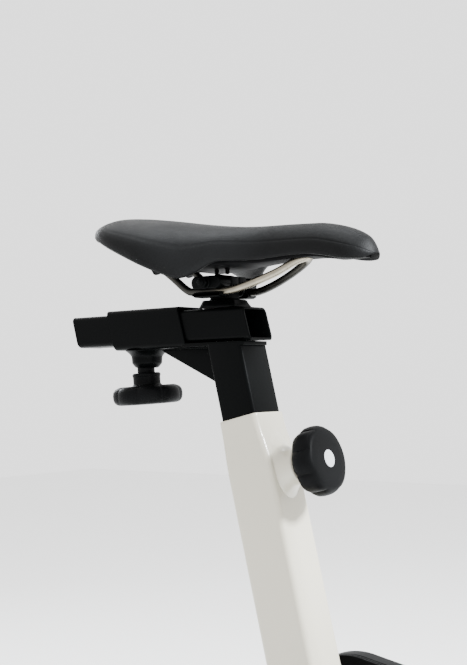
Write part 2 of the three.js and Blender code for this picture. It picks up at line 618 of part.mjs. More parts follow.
function seatPostSolid() {
  const body = postTube({ ...seatPost, above: 110 });
  const level = prism(roundRect(400, 200, 1), collar.bottom - gap, 400);
  return cut(body, moved(level, leaning(new THREE.Vector3(), seatLean).invert()));
}
piece(seatFrame, 'seat_post', seatPostSolid(), blackSteel);

// Box along X with both ends cut on the slant, from its mid-height ends and its section.
function slantedBox(rear, front, bottom, top, width, corner) {
  const slide = Math.tan(endSlant);
  const middle = (bottom + top) / 2;
  const ring = (x) => ringOf(roundRect(top - bottom, width, corner, middle), 0, 2)
    .map((p) => new THREE.Vector3(x - (p.x - middle) * slide, p.y, p.x));
  return toGeometry(toSolid(loft([ring(front), ring(rear)])));
}

function fixedCollar() {
  const outer = slantedBox(collar.rear, collar.front, collar.bottom, collar.top, collar.width, collar.corner);
  const low = slideBar.bottom - slideGap;
  const high = slideBar.bottom + slideBar.height + slideGap;
  const passage = slantedBox(collar.rear - 60, 60, low, high, slideBar.width + 2 * slideGap, slideBar.corner);
  const tongueSlab = new THREE.BoxGeometry(collar.tongue - collar.front + 20, collar.width - 2 * collar.corner,
    low - collar.bottom).translate((collar.tongue + collar.front - 20) / 2, 0, (low + collar.bottom) / 2);
  const boss = rod(slideKnob.bossRadius, 'z', slideBoss.bottom, collar.bottom + 1, 24).translate(slideKnob.x, 0, 0);
  const bore = rod(slideBoss.screw + gap, 'z', slideBoss.bottom - 1, low + 1, 16).translate(slideKnob.x, 0, 0);
  return cut(join(cut(outer, passage), tongueSlab, boss), bore);
}
piece(seatHead, 'slide_collar', fixedCollar(), blackSteel);

// Web between the post's rear face and the collar's underside.
function gussetPlate() {
  const face = (z) => -Math.tan(seatLean) * z - (post.depth / 2 - post.shift + gap) / Math.cos(seatLean);
  const top = collar.bottom - gap;
  const outline = new THREE.Shape([
    new THREE.Vector2(gusset.back, top),
    new THREE.Vector2(face(gusset.toe), gusset.toe),
    new THREE.Vector2(face(top), top),
  ]);
  return plateY(outline, -gusset.thickness / 2, gusset.thickness / 2);
}
piece(seatHead, 'gusset', gussetPlate(), blackSteel);

const slideKnobFrame = groupAt(seatRim.clone().add(new THREE.Vector3(slideKnob.x, 0, 0)));
piece(slideKnobFrame, 'slide_knob', join(
  prism(scallopedShape(slideKnob.radius, 8, 2.2), slideKnob.bottom, slideKnob.top),
  rod(slideKnob.hubRadius, 'z', slideKnob.bottom + 2, slideKnob.hubTop, 24),
  rod(slideBoss.screw, 'z', slideKnob.bottom + 6, slideBar.bottom - gap, 16)), blackPlastic);

function saddleBar() {
  const { rear, front, bottom, height, width, wall, corner } = slideBar;
  const outer = slantedBox(rear, front, bottom, bottom + height, width, corner);
  const inner = slantedBox(rear - 30, front + 30, bottom + wall, bottom + height - wall, width - 2 * wall, 1);
  return cut(outer, inner);
}
piece(seatHead, 'saddle_bar', saddleBar(), blackSteel);

function barEndCap() {
  const { rear, bottom, height, width, wall, corner } = slideBar;
  const flange = slantedBox(rear - 2.5, rear - gap, bottom, bottom + height, width, corner);
  const inset = wall + gap;
  const plug = slantedBox(rear - 1, rear + 15, bottom + inset, bottom + height - inset, width - 2 * inset, 1);
  return join(flange, plug);
}
piece(seatHead, 'bar_end_cap', barEndCap(), blackPlastic);

// Flared foot that stands on the bar and carries the round clamp core.
function saddleMount() {
  const base = slideBar.bottom + slideBar.height + gap;
  const middle = (mountFoot.rear + mountFoot.front) / 2;
  const footRing = (z) => ringOf(roundRect(mountFoot.front - mountFoot.rear, mountFoot.width, 6, middle), z, 3);
  const neckRing = (z) => ringOf(roundRect(mountFoot.neckLength, mountFoot.neckWidth, 6, clamp.x), z, 3);
  const shoulder = ringOf(roundRect(mountFoot.shoulderLength, mountFoot.shoulderWidth, 6, clamp.x), mountFoot.top - 1.5, 3);
  const rings = [footRing(base), footRing(base + 2), shoulder, neckRing(mountFoot.top), neckRing(clamp.height)];
  const body = loft(rings);
  const core = rod(clamp.coreRadius, 'y', -clamp.coreHalf, clamp.coreHalf, 20)
    .translate(clamp.x, 0, clamp.height);
  const bore = rod(clamp.bolt + gap, 'y', -40, 40, 16).translate(clamp.x, 0, clamp.height);
  return cut(join(body, core), bore);
}
piece(seatHead, 'saddle_mount', saddleMount(), blackSteel);

// ---------------------------------------------------------------- saddle
// Rails: one bent wire, rear sockets, low straight run through the clamp, nose loop.
function railPath() {
  const y = rail.halfGauge;
  const side = (s) => [
    new THREE.Vector3(-90, s * (y + 4), 141), new THREE.Vector3(-72, s * (y + 2), 127),
    new THREE.Vector3(-56, s * y, rail.height + 2), new THREE.Vector3(-46, s * y, rail.height),
    new THREE.Vector3(-24, s * y, rail.height), new THREE.Vector3(-6, s * y, rail.height),
    new THREE.Vector3(14, s * (y - 3), rail.height + 5), new THREE.Vector3(36, s * 12, 125),
    new THREE.Vector3(54, s * 8, 134)];
  return new THREE.CatmullRomCurve3([...side(1), new THREE.Vector3(61, 0, 136), ...side(-1).reverse()], false,
    'catmullrom', 0.4);
}
const railWire = (radius) => wire(railPath(), radius, 44, 4);

// Saddle outline: half width and heights at a share t of the length, tail 0 to nose 1.
const smooth = (t) => t * t * (3 - 2 * t);
const clamped = (value) => Math.min(Math.max(value, 0), 1);
const saddleHalf = (t) => {
  const body = saddle.noseHalf + (saddle.halfWidth - saddle.noseHalf) * (1 - smooth(clamped((t - 0.24) / 0.42)));
  const tail = Math.sqrt(Math.max(0, 1 - ((0.2 - Math.min(t, 0.2)) / 0.2) ** 2.6 * 0.62));
  const nose = Math.sqrt(Math.max(0.0, 1 - ((Math.max(t, 0.9) - 0.9) / 0.1) ** 2 * 0.92));
  return body * tail * nose;
};
const saddleTop = (t) => {
  const ridge = 168.4 + 18 * (1 - smooth(clamped(t / 0.62))) - 3.5 * smooth(clamped((t - 0.55) / 0.35));
  const droop = 26 * (1 - Math.sqrt(1 - clamped((t - 0.8) / 0.2) ** 1.6));
  return ridge - droop - 8 * clamped(1 - t / 0.06) ** 2;
};
const saddleBottom = (t) => {
  const wing = (Math.hypot(0.375 - t, 0.02) + 0.375 - t) / 2;
  return 120.8 + 128 * wing - 50 * clamped(0.09 - t) + 10 * smooth(clamped((t - 0.385) / 0.12))
    + 4.3 * smooth(clamped((t - 0.55) / 0.2)) - 5 * smooth(clamped((t - 0.78) / 0.17));
};

// The padding's underside is a vault: side skirts hang lower than its ceiling over the clamp.
const ceiling = (t) => Math.max(saddle.ceiling, saddleBottom(t) + 8);
const stationX = (t, inset) => saddle.tail + inset + (saddle.nose - saddle.tail - 2 * inset) * t;
const stations = (count) => Array.from({ length: count }, (_, i) => 0.5 - 0.5 * Math.cos(Math.PI * i / (count - 1)));

// Ring across the saddle at t: crowned top, rolled edges, skirts and vault.
function saddleRing(t) {
  const half = saddleHalf(t);
  const low = saddleBottom(t) + 3;
  const steps = 12;
  const upper = Array.from({ length: steps }, (_, i) => {
    const a = Math.PI * i / (steps - 1);
    const across = Math.cos(a);
    const lift = Math.max(0, Math.sin(a)) ** 0.55;
    return [half * across, low + (saddleTop(t) - low - saddle.crown * across * across) * lift];
  });
  const vault = [[-0.84, low - 3], [-0.66, ceiling(t)], [0.66, ceiling(t)], [0.84, low - 3]];
  const under = vault.map(([share, z]) => [share * half, z]);
  return [...upper, ...under].map(([y, z]) => new THREE.Vector3(stationX(t, 0), y, z));
}

const saddlePad = () => loft(stations(16).map(saddleRing));

// Hard plate in the vault, which holds the rails.
function saddlePlate() {
  const inset = 8;
  return loft(stations(11).map((share) => {
    const x = stationX(share, inset);
    const t = (x - saddle.tail) / (saddle.nose - saddle.tail);
    const half = 0.6 * saddleHalf(t) - 2;
    const top = ceiling(t) - saddle.plateGap;
    return [[-half, top - saddle.plate], [half, top - saddle.plate], [half, top], [-half, top]]
      .map(([y, z]) => new THREE.Vector3(x, y, z));
  }));
}

const seatMass = groupAt(seatRim);
piece(seatMass, 'saddle_rails', railWire(rail.radius), steel);
const railSpace = wire(railPath(), rail.radius + gap, 44, 4);
piece(seatMass, 'saddle_pad', cut(saddlePad(), railSpace), leatherette);
piece(seatMass, 'saddle_base', cut(saddlePlate(), railSpace), blackPlastic);

for (const [name, side] of [['left', 1], ['right', -1]]) {
  const inner = clamp.coreHalf + gap;
  const shape = roundRect(clamp.length, clamp.high - clamp.low, 8, clamp.x, (clamp.low + clamp.high) / 2);
  const block = plateY(shape, inner, clamp.out);
  const bore = rod(clamp.bolt + gap, 'y', 0, 60, 16).translate(clamp.x, 0, clamp.height);
  const whole = cut(block, bore);
  const placed = side > 0 ? whole : whole.rotateZ(Math.PI).translate(2 * clamp.x, 0, 0);
  piece(seatMass, `clamp_jaw_${name}`, cut(placed, railSpace), blackSteel);
}
piece(seatMass, 'clamp_bolt', join(rod(clamp.bolt, 'y', -clamp.out - 8, clamp.out + 8, 12),
  rod(6.5, 'y', clamp.out + gap, clamp.out + 6, 6), rod(6.5, 'y', -clamp.out - 6, -clamp.out - gap, 6))
  .translate(clamp.x, 0, clamp.height), steel);

export default bike;
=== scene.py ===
"""Looks for the exercise bike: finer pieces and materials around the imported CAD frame.

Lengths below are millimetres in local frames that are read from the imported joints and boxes;
they become metres when a mesh is made.
"""
import json
import math

import bpy
import numpy as np
from mathutils import Matrix, Vector


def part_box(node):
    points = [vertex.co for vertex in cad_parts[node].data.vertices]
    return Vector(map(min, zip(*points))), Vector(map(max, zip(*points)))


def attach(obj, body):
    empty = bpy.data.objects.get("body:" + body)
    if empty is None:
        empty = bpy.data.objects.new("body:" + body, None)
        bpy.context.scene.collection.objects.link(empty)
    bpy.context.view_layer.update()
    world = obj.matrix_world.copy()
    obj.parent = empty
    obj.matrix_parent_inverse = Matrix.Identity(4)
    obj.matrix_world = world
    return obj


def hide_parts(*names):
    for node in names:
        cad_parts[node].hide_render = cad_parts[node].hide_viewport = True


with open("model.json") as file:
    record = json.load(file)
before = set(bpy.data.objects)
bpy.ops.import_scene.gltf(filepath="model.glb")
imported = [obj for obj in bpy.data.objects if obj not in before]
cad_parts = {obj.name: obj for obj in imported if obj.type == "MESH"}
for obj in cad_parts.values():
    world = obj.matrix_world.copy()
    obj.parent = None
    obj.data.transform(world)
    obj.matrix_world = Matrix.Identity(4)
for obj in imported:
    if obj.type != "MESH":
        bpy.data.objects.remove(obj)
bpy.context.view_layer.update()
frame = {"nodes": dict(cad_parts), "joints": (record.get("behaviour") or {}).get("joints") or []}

bl_info = {
    "name": "Exercise Bike",
    "version": (1, 0, 0),
    "blender": (4, 5, 0),
    "location": "View3D > Sidebar > Exercise Bike",
    "description": "Builds the visible pieces and materials of an indoor exercise bike",
    "category": "Object",
}

MM = 0.001
JOINTS = {joint["name"]: joint for joint in frame["joints"]}


# ------------------------------------------------------------------ places, read from the frame
def joint_point(name):
    """A hinge's point, in millimetres."""
    return np.array(JOINTS[name]["pos_m"]) / MM


def joint_axis(name):
    """A joint's direction, one unit long."""
    axis = np.array(JOINTS[name]["axis"], float)
    return axis / np.linalg.norm(axis)


def node_box(*nodes):
    """Lowest and highest corner of some CAD nodes together, in millimetres."""
    boxes = [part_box(node) for node in nodes]
    low = np.min([np.array(b[0]) for b in boxes], axis=0)
    high = np.max([np.array(b[1]) for b in boxes], axis=0)
    return low / MM, high / MM


def basis(origin, up, ahead=(1, 0, 0)):
    """4x4 frame at `origin`, Z along `up`, X as near `ahead` as it can be; frames may nest."""
    z = np.array(up, float) / np.linalg.norm(up)
    y = np.cross(z, ahead)
    y /= np.linalg.norm(y)
    matrix = np.eye(4)
    matrix[:3, 0] = np.cross(y, z)
    matrix[:3, 1] = y
    matrix[:3, 2] = z
    matrix[:3, 3] = origin
    return matrix


PIN_BELOW = 52  # from a tube's rim down to its locking pin, along the tube
SEAT_UP = joint_axis("adjust_height")
SEAT_RIM = joint_point("clamp_height_turn") + PIN_BELOW * SEAT_UP
HEAD_UP = joint_axis("handlebar_height")
HEAD_RIM = joint_point("handlebar_lock_turn") + PIN_BELOW * HEAD_UP
CRANK = joint_point("crank_spin")
FLYWHEEL = joint_point("flywheel_spin")
SEAT = basis(SEAT_RIM, SEAT_UP)  # Z along the seat tube, origin at its rim
HEAD = basis(HEAD_RIM, HEAD_UP)  # Z along the head tube, origin at its rim
LEVEL = basis(SEAT_RIM, (0, 0, 1))  # Z straight up, origin at the seat tube's rim
WORLD = np.eye(4)
SEAT_LEAN = math.atan2(-SEAT_UP[0], SEAT_UP[2])  # how far the seat tube leans back from upright
SIDES = (("left", 1), ("right", -1))
POST_SECTION = {"depth": 36.4, "width": 41, "shift": -1.7}  # shift: forwards from the tube's middle
TUBE_SECTION = {"depth": 48.2, "width": 46.4}
NECK_SECTION = {"depth": 41.2, "width": 45.4, "shift": -1.8, "length": 50}  # the tube's drawn-in mouth
HOLE_PITCH = 25  # between the locking holes of a post


# ------------------------------------------------------------------ settings
def length_property(name, description, default):
    """A length in metres, shown in the scene's units."""
    return bpy.props.FloatProperty(name=name, description=description, default=default, unit="LENGTH")


def colour_property(name, description, default):
    """A linear RGB colour."""
    return bpy.props.FloatVectorProperty(
        name=name, description=description, default=default, size=3, subtype="COLOR", min=0, max=1)


class ExerciseBikeSettings(bpy.types.PropertyGroup):
    """Sizes and colours that the looks can be changed by."""
    tube_corner: length_property("Tube corner", "Corner radius of the white tubes", 0.0050)
    post_corner: length_property("Post corner", "Corner radius of the telescoping posts", 0.0032)
    seam_depth: length_property("Seam depth", "Depth of the saddle cover's welded seam", 0.0004)
    groove_depth: length_property("Saddle groove", "Depth of the groove along the saddle's rear half", 0.0014)
    knob_lobes: bpy.props.IntProperty(name="Knob lobes", description="Finger lobes on a clamp knob", default=8)
    paint_colour: colour_property("Frame paint", "Colour of the frame", (0.44, 0.412, 0.335))
    coat_colour: colour_property("Black coat", "Colour of the powder-coated steel", (0.0007, 0.0009, 0.00095))
    plastic_colour: colour_property("Plastic", "Colour of moulded parts", (0.0016, 0.0017, 0.0019))
    cover_colour: colour_property("Saddle cover", "Colour of the leatherette", (0.0029, 0.003, 0.0032))
    rail_colour: colour_property("Rail metal", "Colour of the saddle rails", (0.25, 0.225, 0.175))


def settings():
    """The bike's settings in the current scene."""
    return bpy.context.scene.exercise_bike


# ------------------------------------------------------------------ materials
class Value:
    """A socket of a node tree; arithmetic on it adds Math nodes."""

    def __init__(self, paint, socket):
        self.paint = paint
        self.socket = socket

    def _math(self, operation, *values):
        return self.paint.node("ShaderNodeMath", {"operation": operation}, list(values))

    def __add__(self, other):
        return self._math("ADD", self, other)

    def __sub__(self, other):
        return self._math("SUBTRACT", self, other)

    def __rsub__(self, other):
        return self._math("SUBTRACT", other, self)

    def __mul__(self, other):
        return self._math("MULTIPLY", self, other)

    def __pow__(self, other):
        return self._math("POWER", self, other)

    __radd__ = __add__
    __rmul__ = __mul__

    def sine(self):
        return self._math("SINE", self)

    def parts(self):
        """X, Y and Z of a vector."""
        split = self.paint.node("ShaderNodeSeparateXYZ", {}, [self])
        return [Value(self.paint, output) for output in split.socket.node.outputs]

    def above(self, low, high):
        """0 under `low`, 1 over `high`, smooth between."""
        return self.paint.node("ShaderNodeMapRange", {"interpolation_type": "SMOOTHSTEP"},
                               {"Value": self, "From Min": low, "From Max": high})


class Paint:
    """One material: a Principled shader and the node tree that feeds it."""

    def __init__(self, name, **constants):
        self.material = bpy.data.materials.new(name)
        self.material.use_nodes = True
        self.tree = self.material.node_tree
        self.shader = self.tree.nodes["Principled BSDF"]
        self.place = Value(self, self.tree.nodes.new("ShaderNodeTexCoord").outputs["Object"])
        self.feed(**constants)

    def node(self, kind, options, inputs, output=0):
        """Adds a node: its options first, then values or links for its sockets, by place or by name."""
        node = self.tree.nodes.new(kind)
        for key, value in options.items():
            setattr(node, key, value)
        pairs = enumerate(inputs) if isinstance(inputs, list) else inputs.items()
        for key, value in pairs:
            self._set(node.inputs[key], value)
        return Value(self, node.outputs[output])

    def _set(self, socket, value):
        """Links a Value to the socket, or stores a plain value in it; a colour gets its alpha."""
        if isinstance(value, Value):
            self.tree.links.new(value.socket, socket)
        elif socket.type == "RGBA" and len(value) == 3:
            socket.default_value = (*value, 1)
        else:
            socket.default_value = value

    def feed(self, **inputs):
        """Sets Principled inputs; an underscore in a keyword stands for a space."""
        for key, value in inputs.items():
            self._set(self.shader.inputs[key.replace("_", " ")], value)

    def stretched(self, scale):
        """Place in which a pattern is drawn out along the axes whose scale is low."""
        return self.node("ShaderNodeMapping", {}, {"Vector": self.place, "Scale": scale})

    def noise(self, size_mm, detail=3, rough=0.5, place=None):
        """Noise from 0 to 1 whose blotches are about `size_mm` wide."""
        return self.node("ShaderNodeTexNoise", {}, {
            "Vector": place or self.place, "Scale": 1 / (size_mm * MM), "Detail": detail, "Roughness": rough})

    def cells(self, size_mm, feature="F1"):
        """Distances inside cells about `size_mm` wide."""
        return self.node("ShaderNodeTexVoronoi", {"feature": feature},
                         {"Vector": self.place, "Scale": 1 / (size_mm * MM)})

    def blend(self, factor, first, second):
        """Colour that goes from `first` to `second` with `factor`."""
        colours = {0: factor, 6: first, 7: second}
        return self.node("ShaderNodeMix", {"data_type": "RGBA"}, colours, 2)

    def bump(self, *layers):
        """Layers are (height, depth in millimetres), stacked."""
        normal = None
        for height, depth in layers:
            inputs = {"Height": height, "Distance": depth * MM, "Strength": 1.0}
            if normal:
                inputs["Normal"] = normal
            normal = self.node("ShaderNodeBump", {}, inputs)
        self.feed(Normal=normal)


def shade(colour, factor):
    """A colour made darker or lighter, and still a colour."""
    return tuple(min(1.0, channel * factor) for channel in colour)


def paint_material():
    """Warm white powder coat with orange peel, a clear top, faint scuffs and dust in the blotches."""
    p = Paint("frame_paint", Coat_Roughness=0.12, IOR=1.5)
    colour = tuple(settings().paint_colour)
    blotch = p.noise(160, 4)
    scuff = p.noise(9, 6, 0.75).above(0.63, 0.72) * p.noise(70, 2).above(0.5, 0.62)
    base = p.blend(blotch.above(0.3, 0.7), shade(colour, 0.965), shade(colour, 1.02))
    p.feed(Base_Color=p.blend(scuff * 0.55, base, shade(colour, 0.80)))
    p.feed(Roughness=p.noise(30, 3) * 0.12 + scuff * 0.25 + 0.26, Coat_Weight=scuff * -0.35 + 0.4)
    p.bump((p.noise(2.6, 2), 0.035), (p.noise(0.5, 1), 0.006))
    return p.material


def coat_material():
    """Black powder coat: fine pebbled skin, slightly uneven sheen and a few pale rub marks."""
    p = Paint("black_steel", IOR=1.5, Specular_IOR_Level=0.035)
    colour = tuple(settings().coat_colour)
    rub = p.noise(5, 7, 0.8).above(0.66, 0.74) * p.noise(45, 2).above(0.52, 0.64)
    p.feed(Base_Color=p.blend(rub * 0.5, colour, (0.006, 0.0062, 0.0064)))
    p.feed(Roughness=p.noise(22, 3) * 0.16 + rub * 0.15 + 0.30)
    p.bump((p.noise(1.1, 2), 0.035), (p.noise(0.35, 1), 0.010))
    return p.material


def plastic_material():
    """Moulded black plastic with a spark-eroded grain and a faint bloom."""
    p = Paint("black_plastic", IOR=1.46, Specular_IOR_Level=0.05)
    colour = tuple(settings().plastic_colour)
    bloom = p.noise(35, 4)
    p.feed(Base_Color=p.blend(bloom.above(0.35, 0.7), colour, shade(colour, 1.45)))
    p.feed(Roughness=bloom * 0.16 + 0.40)
    p.bump((p.cells(0.7), 0.035), (p.noise(0.4, 1), 0.010))
    return p.material


def cover_material():
    """Leatherette: pebbled cells with creases between them painted darker as shade, worn smoother where the
    rider sits.
    """
    p = Paint("leatherette", IOR=1.48, Specular_IOR_Level=0.08)
    colour = tuple(settings().cover_colour)
    pebbles = p.cells(1.25, "DISTANCE_TO_EDGE").above(0.0, 0.22)
    wear = p.noise(75, 3).above(0.4, 0.65)
    # painted shade: the creases between the pebbles are painted darker than the pebbles
    crease = p.blend(pebbles, shade(colour, 0.62), colour)
    p.feed(Base_Color=p.blend(wear * 0.35, crease, shade(colour, 1.7)))
    p.feed(Roughness=p.noise(14, 3) * 0.14 + wear * -0.06 + 0.44)
    p.bump((pebbles, 0.055), (p.noise(0.5, 3), 0.012), (p.noise(16, 2), 0.2))
    return p.material


def under_material():
    """Glass-filled nylon of the saddle's base: matt, with flow marks."""
    p = Paint("saddle_shell", IOR=1.5, Specular_IOR_Level=0.04)
    flow = p.noise(20, 5, 0.6, p.stretched((0.3, 1, 1)))
    p.feed(Base_Color=p.blend(flow, (0.0016, 0.0016, 0.0018), (0.004, 0.004, 0.0042)))
    p.feed(Roughness=flow * 0.2 + 0.55)
    p.bump((p.noise(0.8, 2), 0.02))
    return p.material


def metal_material(name, colour, rough, grain=(1, 1, 1), grain_mm=1.5, dirt=0.35):
    """Bare metal drawn or brushed along one axis, with darker handling blotches."""
    p = Paint(name, Metallic=1.0)
    lines = p.noise(grain_mm, 4, 0.6, p.stretched(grain))
    blotch = p.noise(28, 4).above(0.45, 0.75)
    p.feed(Base_Color=p.blend(blotch * dirt, colour, shade(colour, 0.55)))
    p.feed(Roughness=lines * 0.14 + blotch * 0.12 + rough)
    p.bump((lines, 0.012))
    return p.material


def rail_material():
    """Plated rails, warm grey with darker blotches of road film; painted shade darkens them at the back, round
    and behind the clamp, and on the far side, under the saddle.
    """
    p = Paint("rail_metal", Metallic=1.0)
    x, y, _ = p.place.parts()
    along = x - LEVEL[0, 3] * MM
    # painted shade mask: 1 on the near rail's front, 0 at the back and on the far side, where the rails lie in
    # shade
    unshaded_share = along.above(-0.030, 0.004) * (1 - y.above(-0.004, 0.008))
    film = p.noise(9, 4).above(0.35, 0.7)
    bright = p.blend(film * 0.4, tuple(settings().rail_colour), shade(settings().rail_colour, 0.6))
    # the back and the far side get the dark painted shade colour; the front keeps the warm grey
    p.feed(Base_Color=p.blend(unshaded_share, (0.030, 0.029, 0.026), bright))
    p.feed(Roughness=film * 0.12 + unshaded_share * -0.08 + 0.36)
    p.bump((p.noise(3, 4, 0.6, p.stretched((1, 6, 6))), 0.012))
    return p.material


TURNING_MARKS = 0.9  # pitch of the turned rings on the flywheel's rim


def cast_material():
    """Flywheel iron: turned rings on the machined rim, grey paint on the web, sparse brown specks."""
    p = Paint("cast_iron")
    x, _, z = p.place.parts()
    across, upward = x - FLYWHEEL[0] * MM, z - FLYWHEEL[2] * MM
    radius = (across * across + upward * upward) ** 0.5
    rings = (radius * (2 * math.pi / (TURNING_MARKS * MM))).sine()
    rim = radius.above(0.153, 0.1545)
    speck = p.noise(2.2, 4, 0.7).above(0.70, 0.76)
    iron = p.blend(p.noise(12, 4), (0.20, 0.205, 0.21), (0.29, 0.295, 0.30))
    web = p.blend(p.noise(25, 3), (0.055, 0.057, 0.060), (0.085, 0.087, 0.090))
    p.feed(Base_Color=p.blend(speck * 0.5, p.blend(rim, web, iron), (0.12, 0.075, 0.05)))
    p.feed(Metallic=rim * 0.95, Roughness=p.noise(18, 3) * 0.15 + rim * -0.18 + speck * 0.3 + 0.42)
    p.bump((rings * rim, 0.008), (p.noise(1.4, 4) * (1 - rim * 0.85), 0.07))
    return p.material


def rubber_material():
    """Dull rubber with a dusty bloom."""
    p = Paint("rubber", IOR=1.4, Specular_IOR_Level=0.2)
    bloom = p.noise(11, 5).above(0.45, 0.7)
    p.feed(Base_Color=p.blend(bloom * 0.5, (0.005, 0.005, 0.005), (0.018, 0.0175, 0.0165)))
    p.feed(Roughness=bloom * 0.1 + 0.72)
    p.bump((p.noise(0.9, 4), 0.06))
    return p.material


def foam_material():
    """Closed-cell foam: open pores painted darker as shade, and a matt skin."""
    p = Paint("grip_foam", IOR=1.35, Specular_IOR_Level=0.15)
    pores = p.cells(0.9).above(0.1, 0.45)
    # painted shade: the pores are painted darker than the skin around them
    p.feed(Base_Color=p.blend(pores, (0.002, 0.002, 0.002), (0.009, 0.009, 0.0095)))
    p.feed(Roughness=0.93)
    p.bump((pores, 0.14), (p.noise(6, 3), 0.15))
    return p.material


def mark_material():
    """Pad-printed pale ink, worn thin in places."""
    p = Paint("pale_mark", IOR=1.45)
    worn = p.noise(2.5, 4, 0.7).above(0.58, 0.72)
    p.feed(Base_Color=p.blend(worn * 0.6, (0.42, 0.43, 0.45), (0.12, 0.12, 0.125)))
    p.feed(Roughness=worn * 0.2 + 0.5)
    p.bump((p.noise(0.4, 2), 0.01))
    return p.material


MATERIALS = {
    "frame_paint": paint_material, "black_steel": coat_material, "black_plastic": plastic_material,
    "leatherette": cover_material, "saddle_shell": under_material, "cast_iron": cast_material,
    "rubber": rubber_material, "grip_foam": foam_material, "pale_mark": mark_material,
    "rail_metal": rail_material,
    "bright_steel": lambda: metal_material("bright_steel", (0.40, 0.395, 0.375), 0.26, (1, 1, 1), 1.2),
    "aluminium": lambda: metal_material("aluminium", (0.40, 0.405, 0.41), 0.30, (0.08, 1, 1), 0.8, 0.2),
}


def material(name):
    """A finish by its name, made when it is first asked for."""
    found = bpy.data.materials.get("look_" + name)
    if not found:
        found = MATERIALS[name]()
        found.name = "look_" + name
    return found


# ------------------------------------------------------------------ outlines and rings
def arc(centre, radius, start, end, count):
    """Points on a circle arc: centre + radius (cos a, sin a), a from start to end."""
    a = np.linspace(start, end, count)
    return np.column_stack([centre[0] + radius * np.cos(a), centre[1] + radius * np.sin(a)])


def round_rect(a, b, radius, shift=0.0, per_corner=7):
    """Counter-clockwise rounded rectangle, `a` along x and `b` along y."""
    corners = [(1, 1), (-1, 1), (-1, -1), (1, -1)]
    return np.vstack([
        arc((shift + sx * (a / 2 - radius), sy * (b / 2 - radius)), radius,
            quarter * math.pi / 2, (quarter + 1) * math.pi / 2, per_corner)
        for quarter, (sx, sy) in enumerate(corners)])


def circle(radius, count=64):
    """Regular outline of `count` points round the origin."""
    return arc((0.0, 0.0), radius, 0, 2 * math.pi, count + 1)[:-1]


def band(circles, grow=0.0, count=200):
    """Outline of a taut band round some circles: at each heading, the circle that reaches furthest."""
    headings = np.linspace(0, 2 * math.pi, count, endpoint=False)
    normal = np.column_stack([np.cos(headings), np.sin(headings)])
    centres = np.array([c[:2] for c in circles])
    radii = np.array([c[2] for c in circles]) + grow
    reach = normal @ centres.T + radii
    best = np.argmax(reach, axis=1)
    return centres[best] + radii[best, None] * normal


def lobed(radius, lobes, depth, count=192):
    """Knob outline: r = radius - depth (1 - |cos(lobes a / 2)| ** 0.7), finger lobes with sharp valleys."""
    a = np.linspace(0, 2 * math.pi, count, endpoint=False)
    r = radius - depth * (1 - np.abs(np.cos(lobes * a / 2)) ** 0.7)
    return np.column_stack([r * np.cos(a), r * np.sin(a)])


def inset(outline, depth):
    """Outline moved inwards by `depth`, with mitred corners."""
    before = outline - np.roll(outline, 1, axis=0)
    after = np.roll(outline, -1, axis=0) - outline
    edges = [edge / np.maximum(np.linalg.norm(edge, axis=1, keepdims=True), 1e-9) for edge in (before, after)]
    normals = [np.column_stack([edge[:, 1], -edge[:, 0]]) for edge in edges]
    total = normals[0] + normals[1]
    share = 1 + np.sum(normals[0] * normals[1], axis=1, keepdims=True)
    return outline - depth * total / np.maximum(share, 0.2)


def lift(outline, height):
    """Outline set at a height: one ring of a piece."""
    return np.column_stack([outline, np.broadcast_to(height, len(outline))])


def prism_rings(outline, low, high, edge=0.8, steps=4):
    """Rings of a prism whose rims are rounded: inset edge (1 - sin a), height edge (1 - cos a)."""
    a = np.linspace(0, math.pi / 2, steps + 1)
    lower = [lift(inset(outline, edge * (1 - math.sin(t))), low + edge * (1 - math.cos(t))) for t in a]
    upper = [lift(inset(outline, edge * (1 - math.sin(t))), high - edge * (1 - math.cos(t))) for t in a[::-1]]
    return lower + upper


POLE_RADIUS = 0.02  # of the tiny ring that closes a turned piece on its axis


def lathe_rings(profile, count=64):
    """Rings of a turned piece from (radius, height) points; a point on the axis becomes a pole's tiny ring."""
    return [lift(circle(max(radius, POLE_RADIUS), count), height) for radius, height in profile]


def rounded_profile(points, radius, steps=4):
    """(radius, height) profile with its corners rounded by quadratic curves, and no point twice."""
    points = [np.array(p, float) for p in points]
    smooth = [points[0]]
    for before, corner, after in zip(points, points[1:], points[2:]):
        reach = min(radius, np.linalg.norm(before - corner) / 2, np.linalg.norm(after - corner) / 2)
        start = corner + (before - corner) / max(np.linalg.norm(before - corner), 1e-9) * reach
        end = corner + (after - corner) / max(np.linalg.norm(after - corner), 1e-9) * reach
        for t in np.linspace(0, 1, steps + 1):
            smooth.append((1 - t) ** 2 * start + 2 * t * (1 - t) * corner + t ** 2 * end)
    smooth.append(points[-1])
    return [smooth[0]] + [p for last, p in zip(smooth, smooth[1:]) if np.linalg.norm(p - last) > 1e-4]


def curve_through(points, per_span=16):
    """Catmull-Rom curve through the points."""
    points = np.array(points, float)
    padded = np.vstack([2 * points[0] - points[1], points, 2 * points[-1] - points[-2]])
    t = np.linspace(0, 1, per_span, endpoint=False)[:, None]
    spans = []
    for p0, p1, p2, p3 in zip(padded, padded[1:], padded[2:], padded[3:]):
        spans.append(0.5 * (2 * p1 + (p2 - p0) * t + (2 * p0 - 5 * p1 + 4 * p2 - p3) * t ** 2
                            + (3 * p1 - p0 - 3 * p2 + p3) * t ** 3))
    return np.vstack([*spans, points[-1:]])


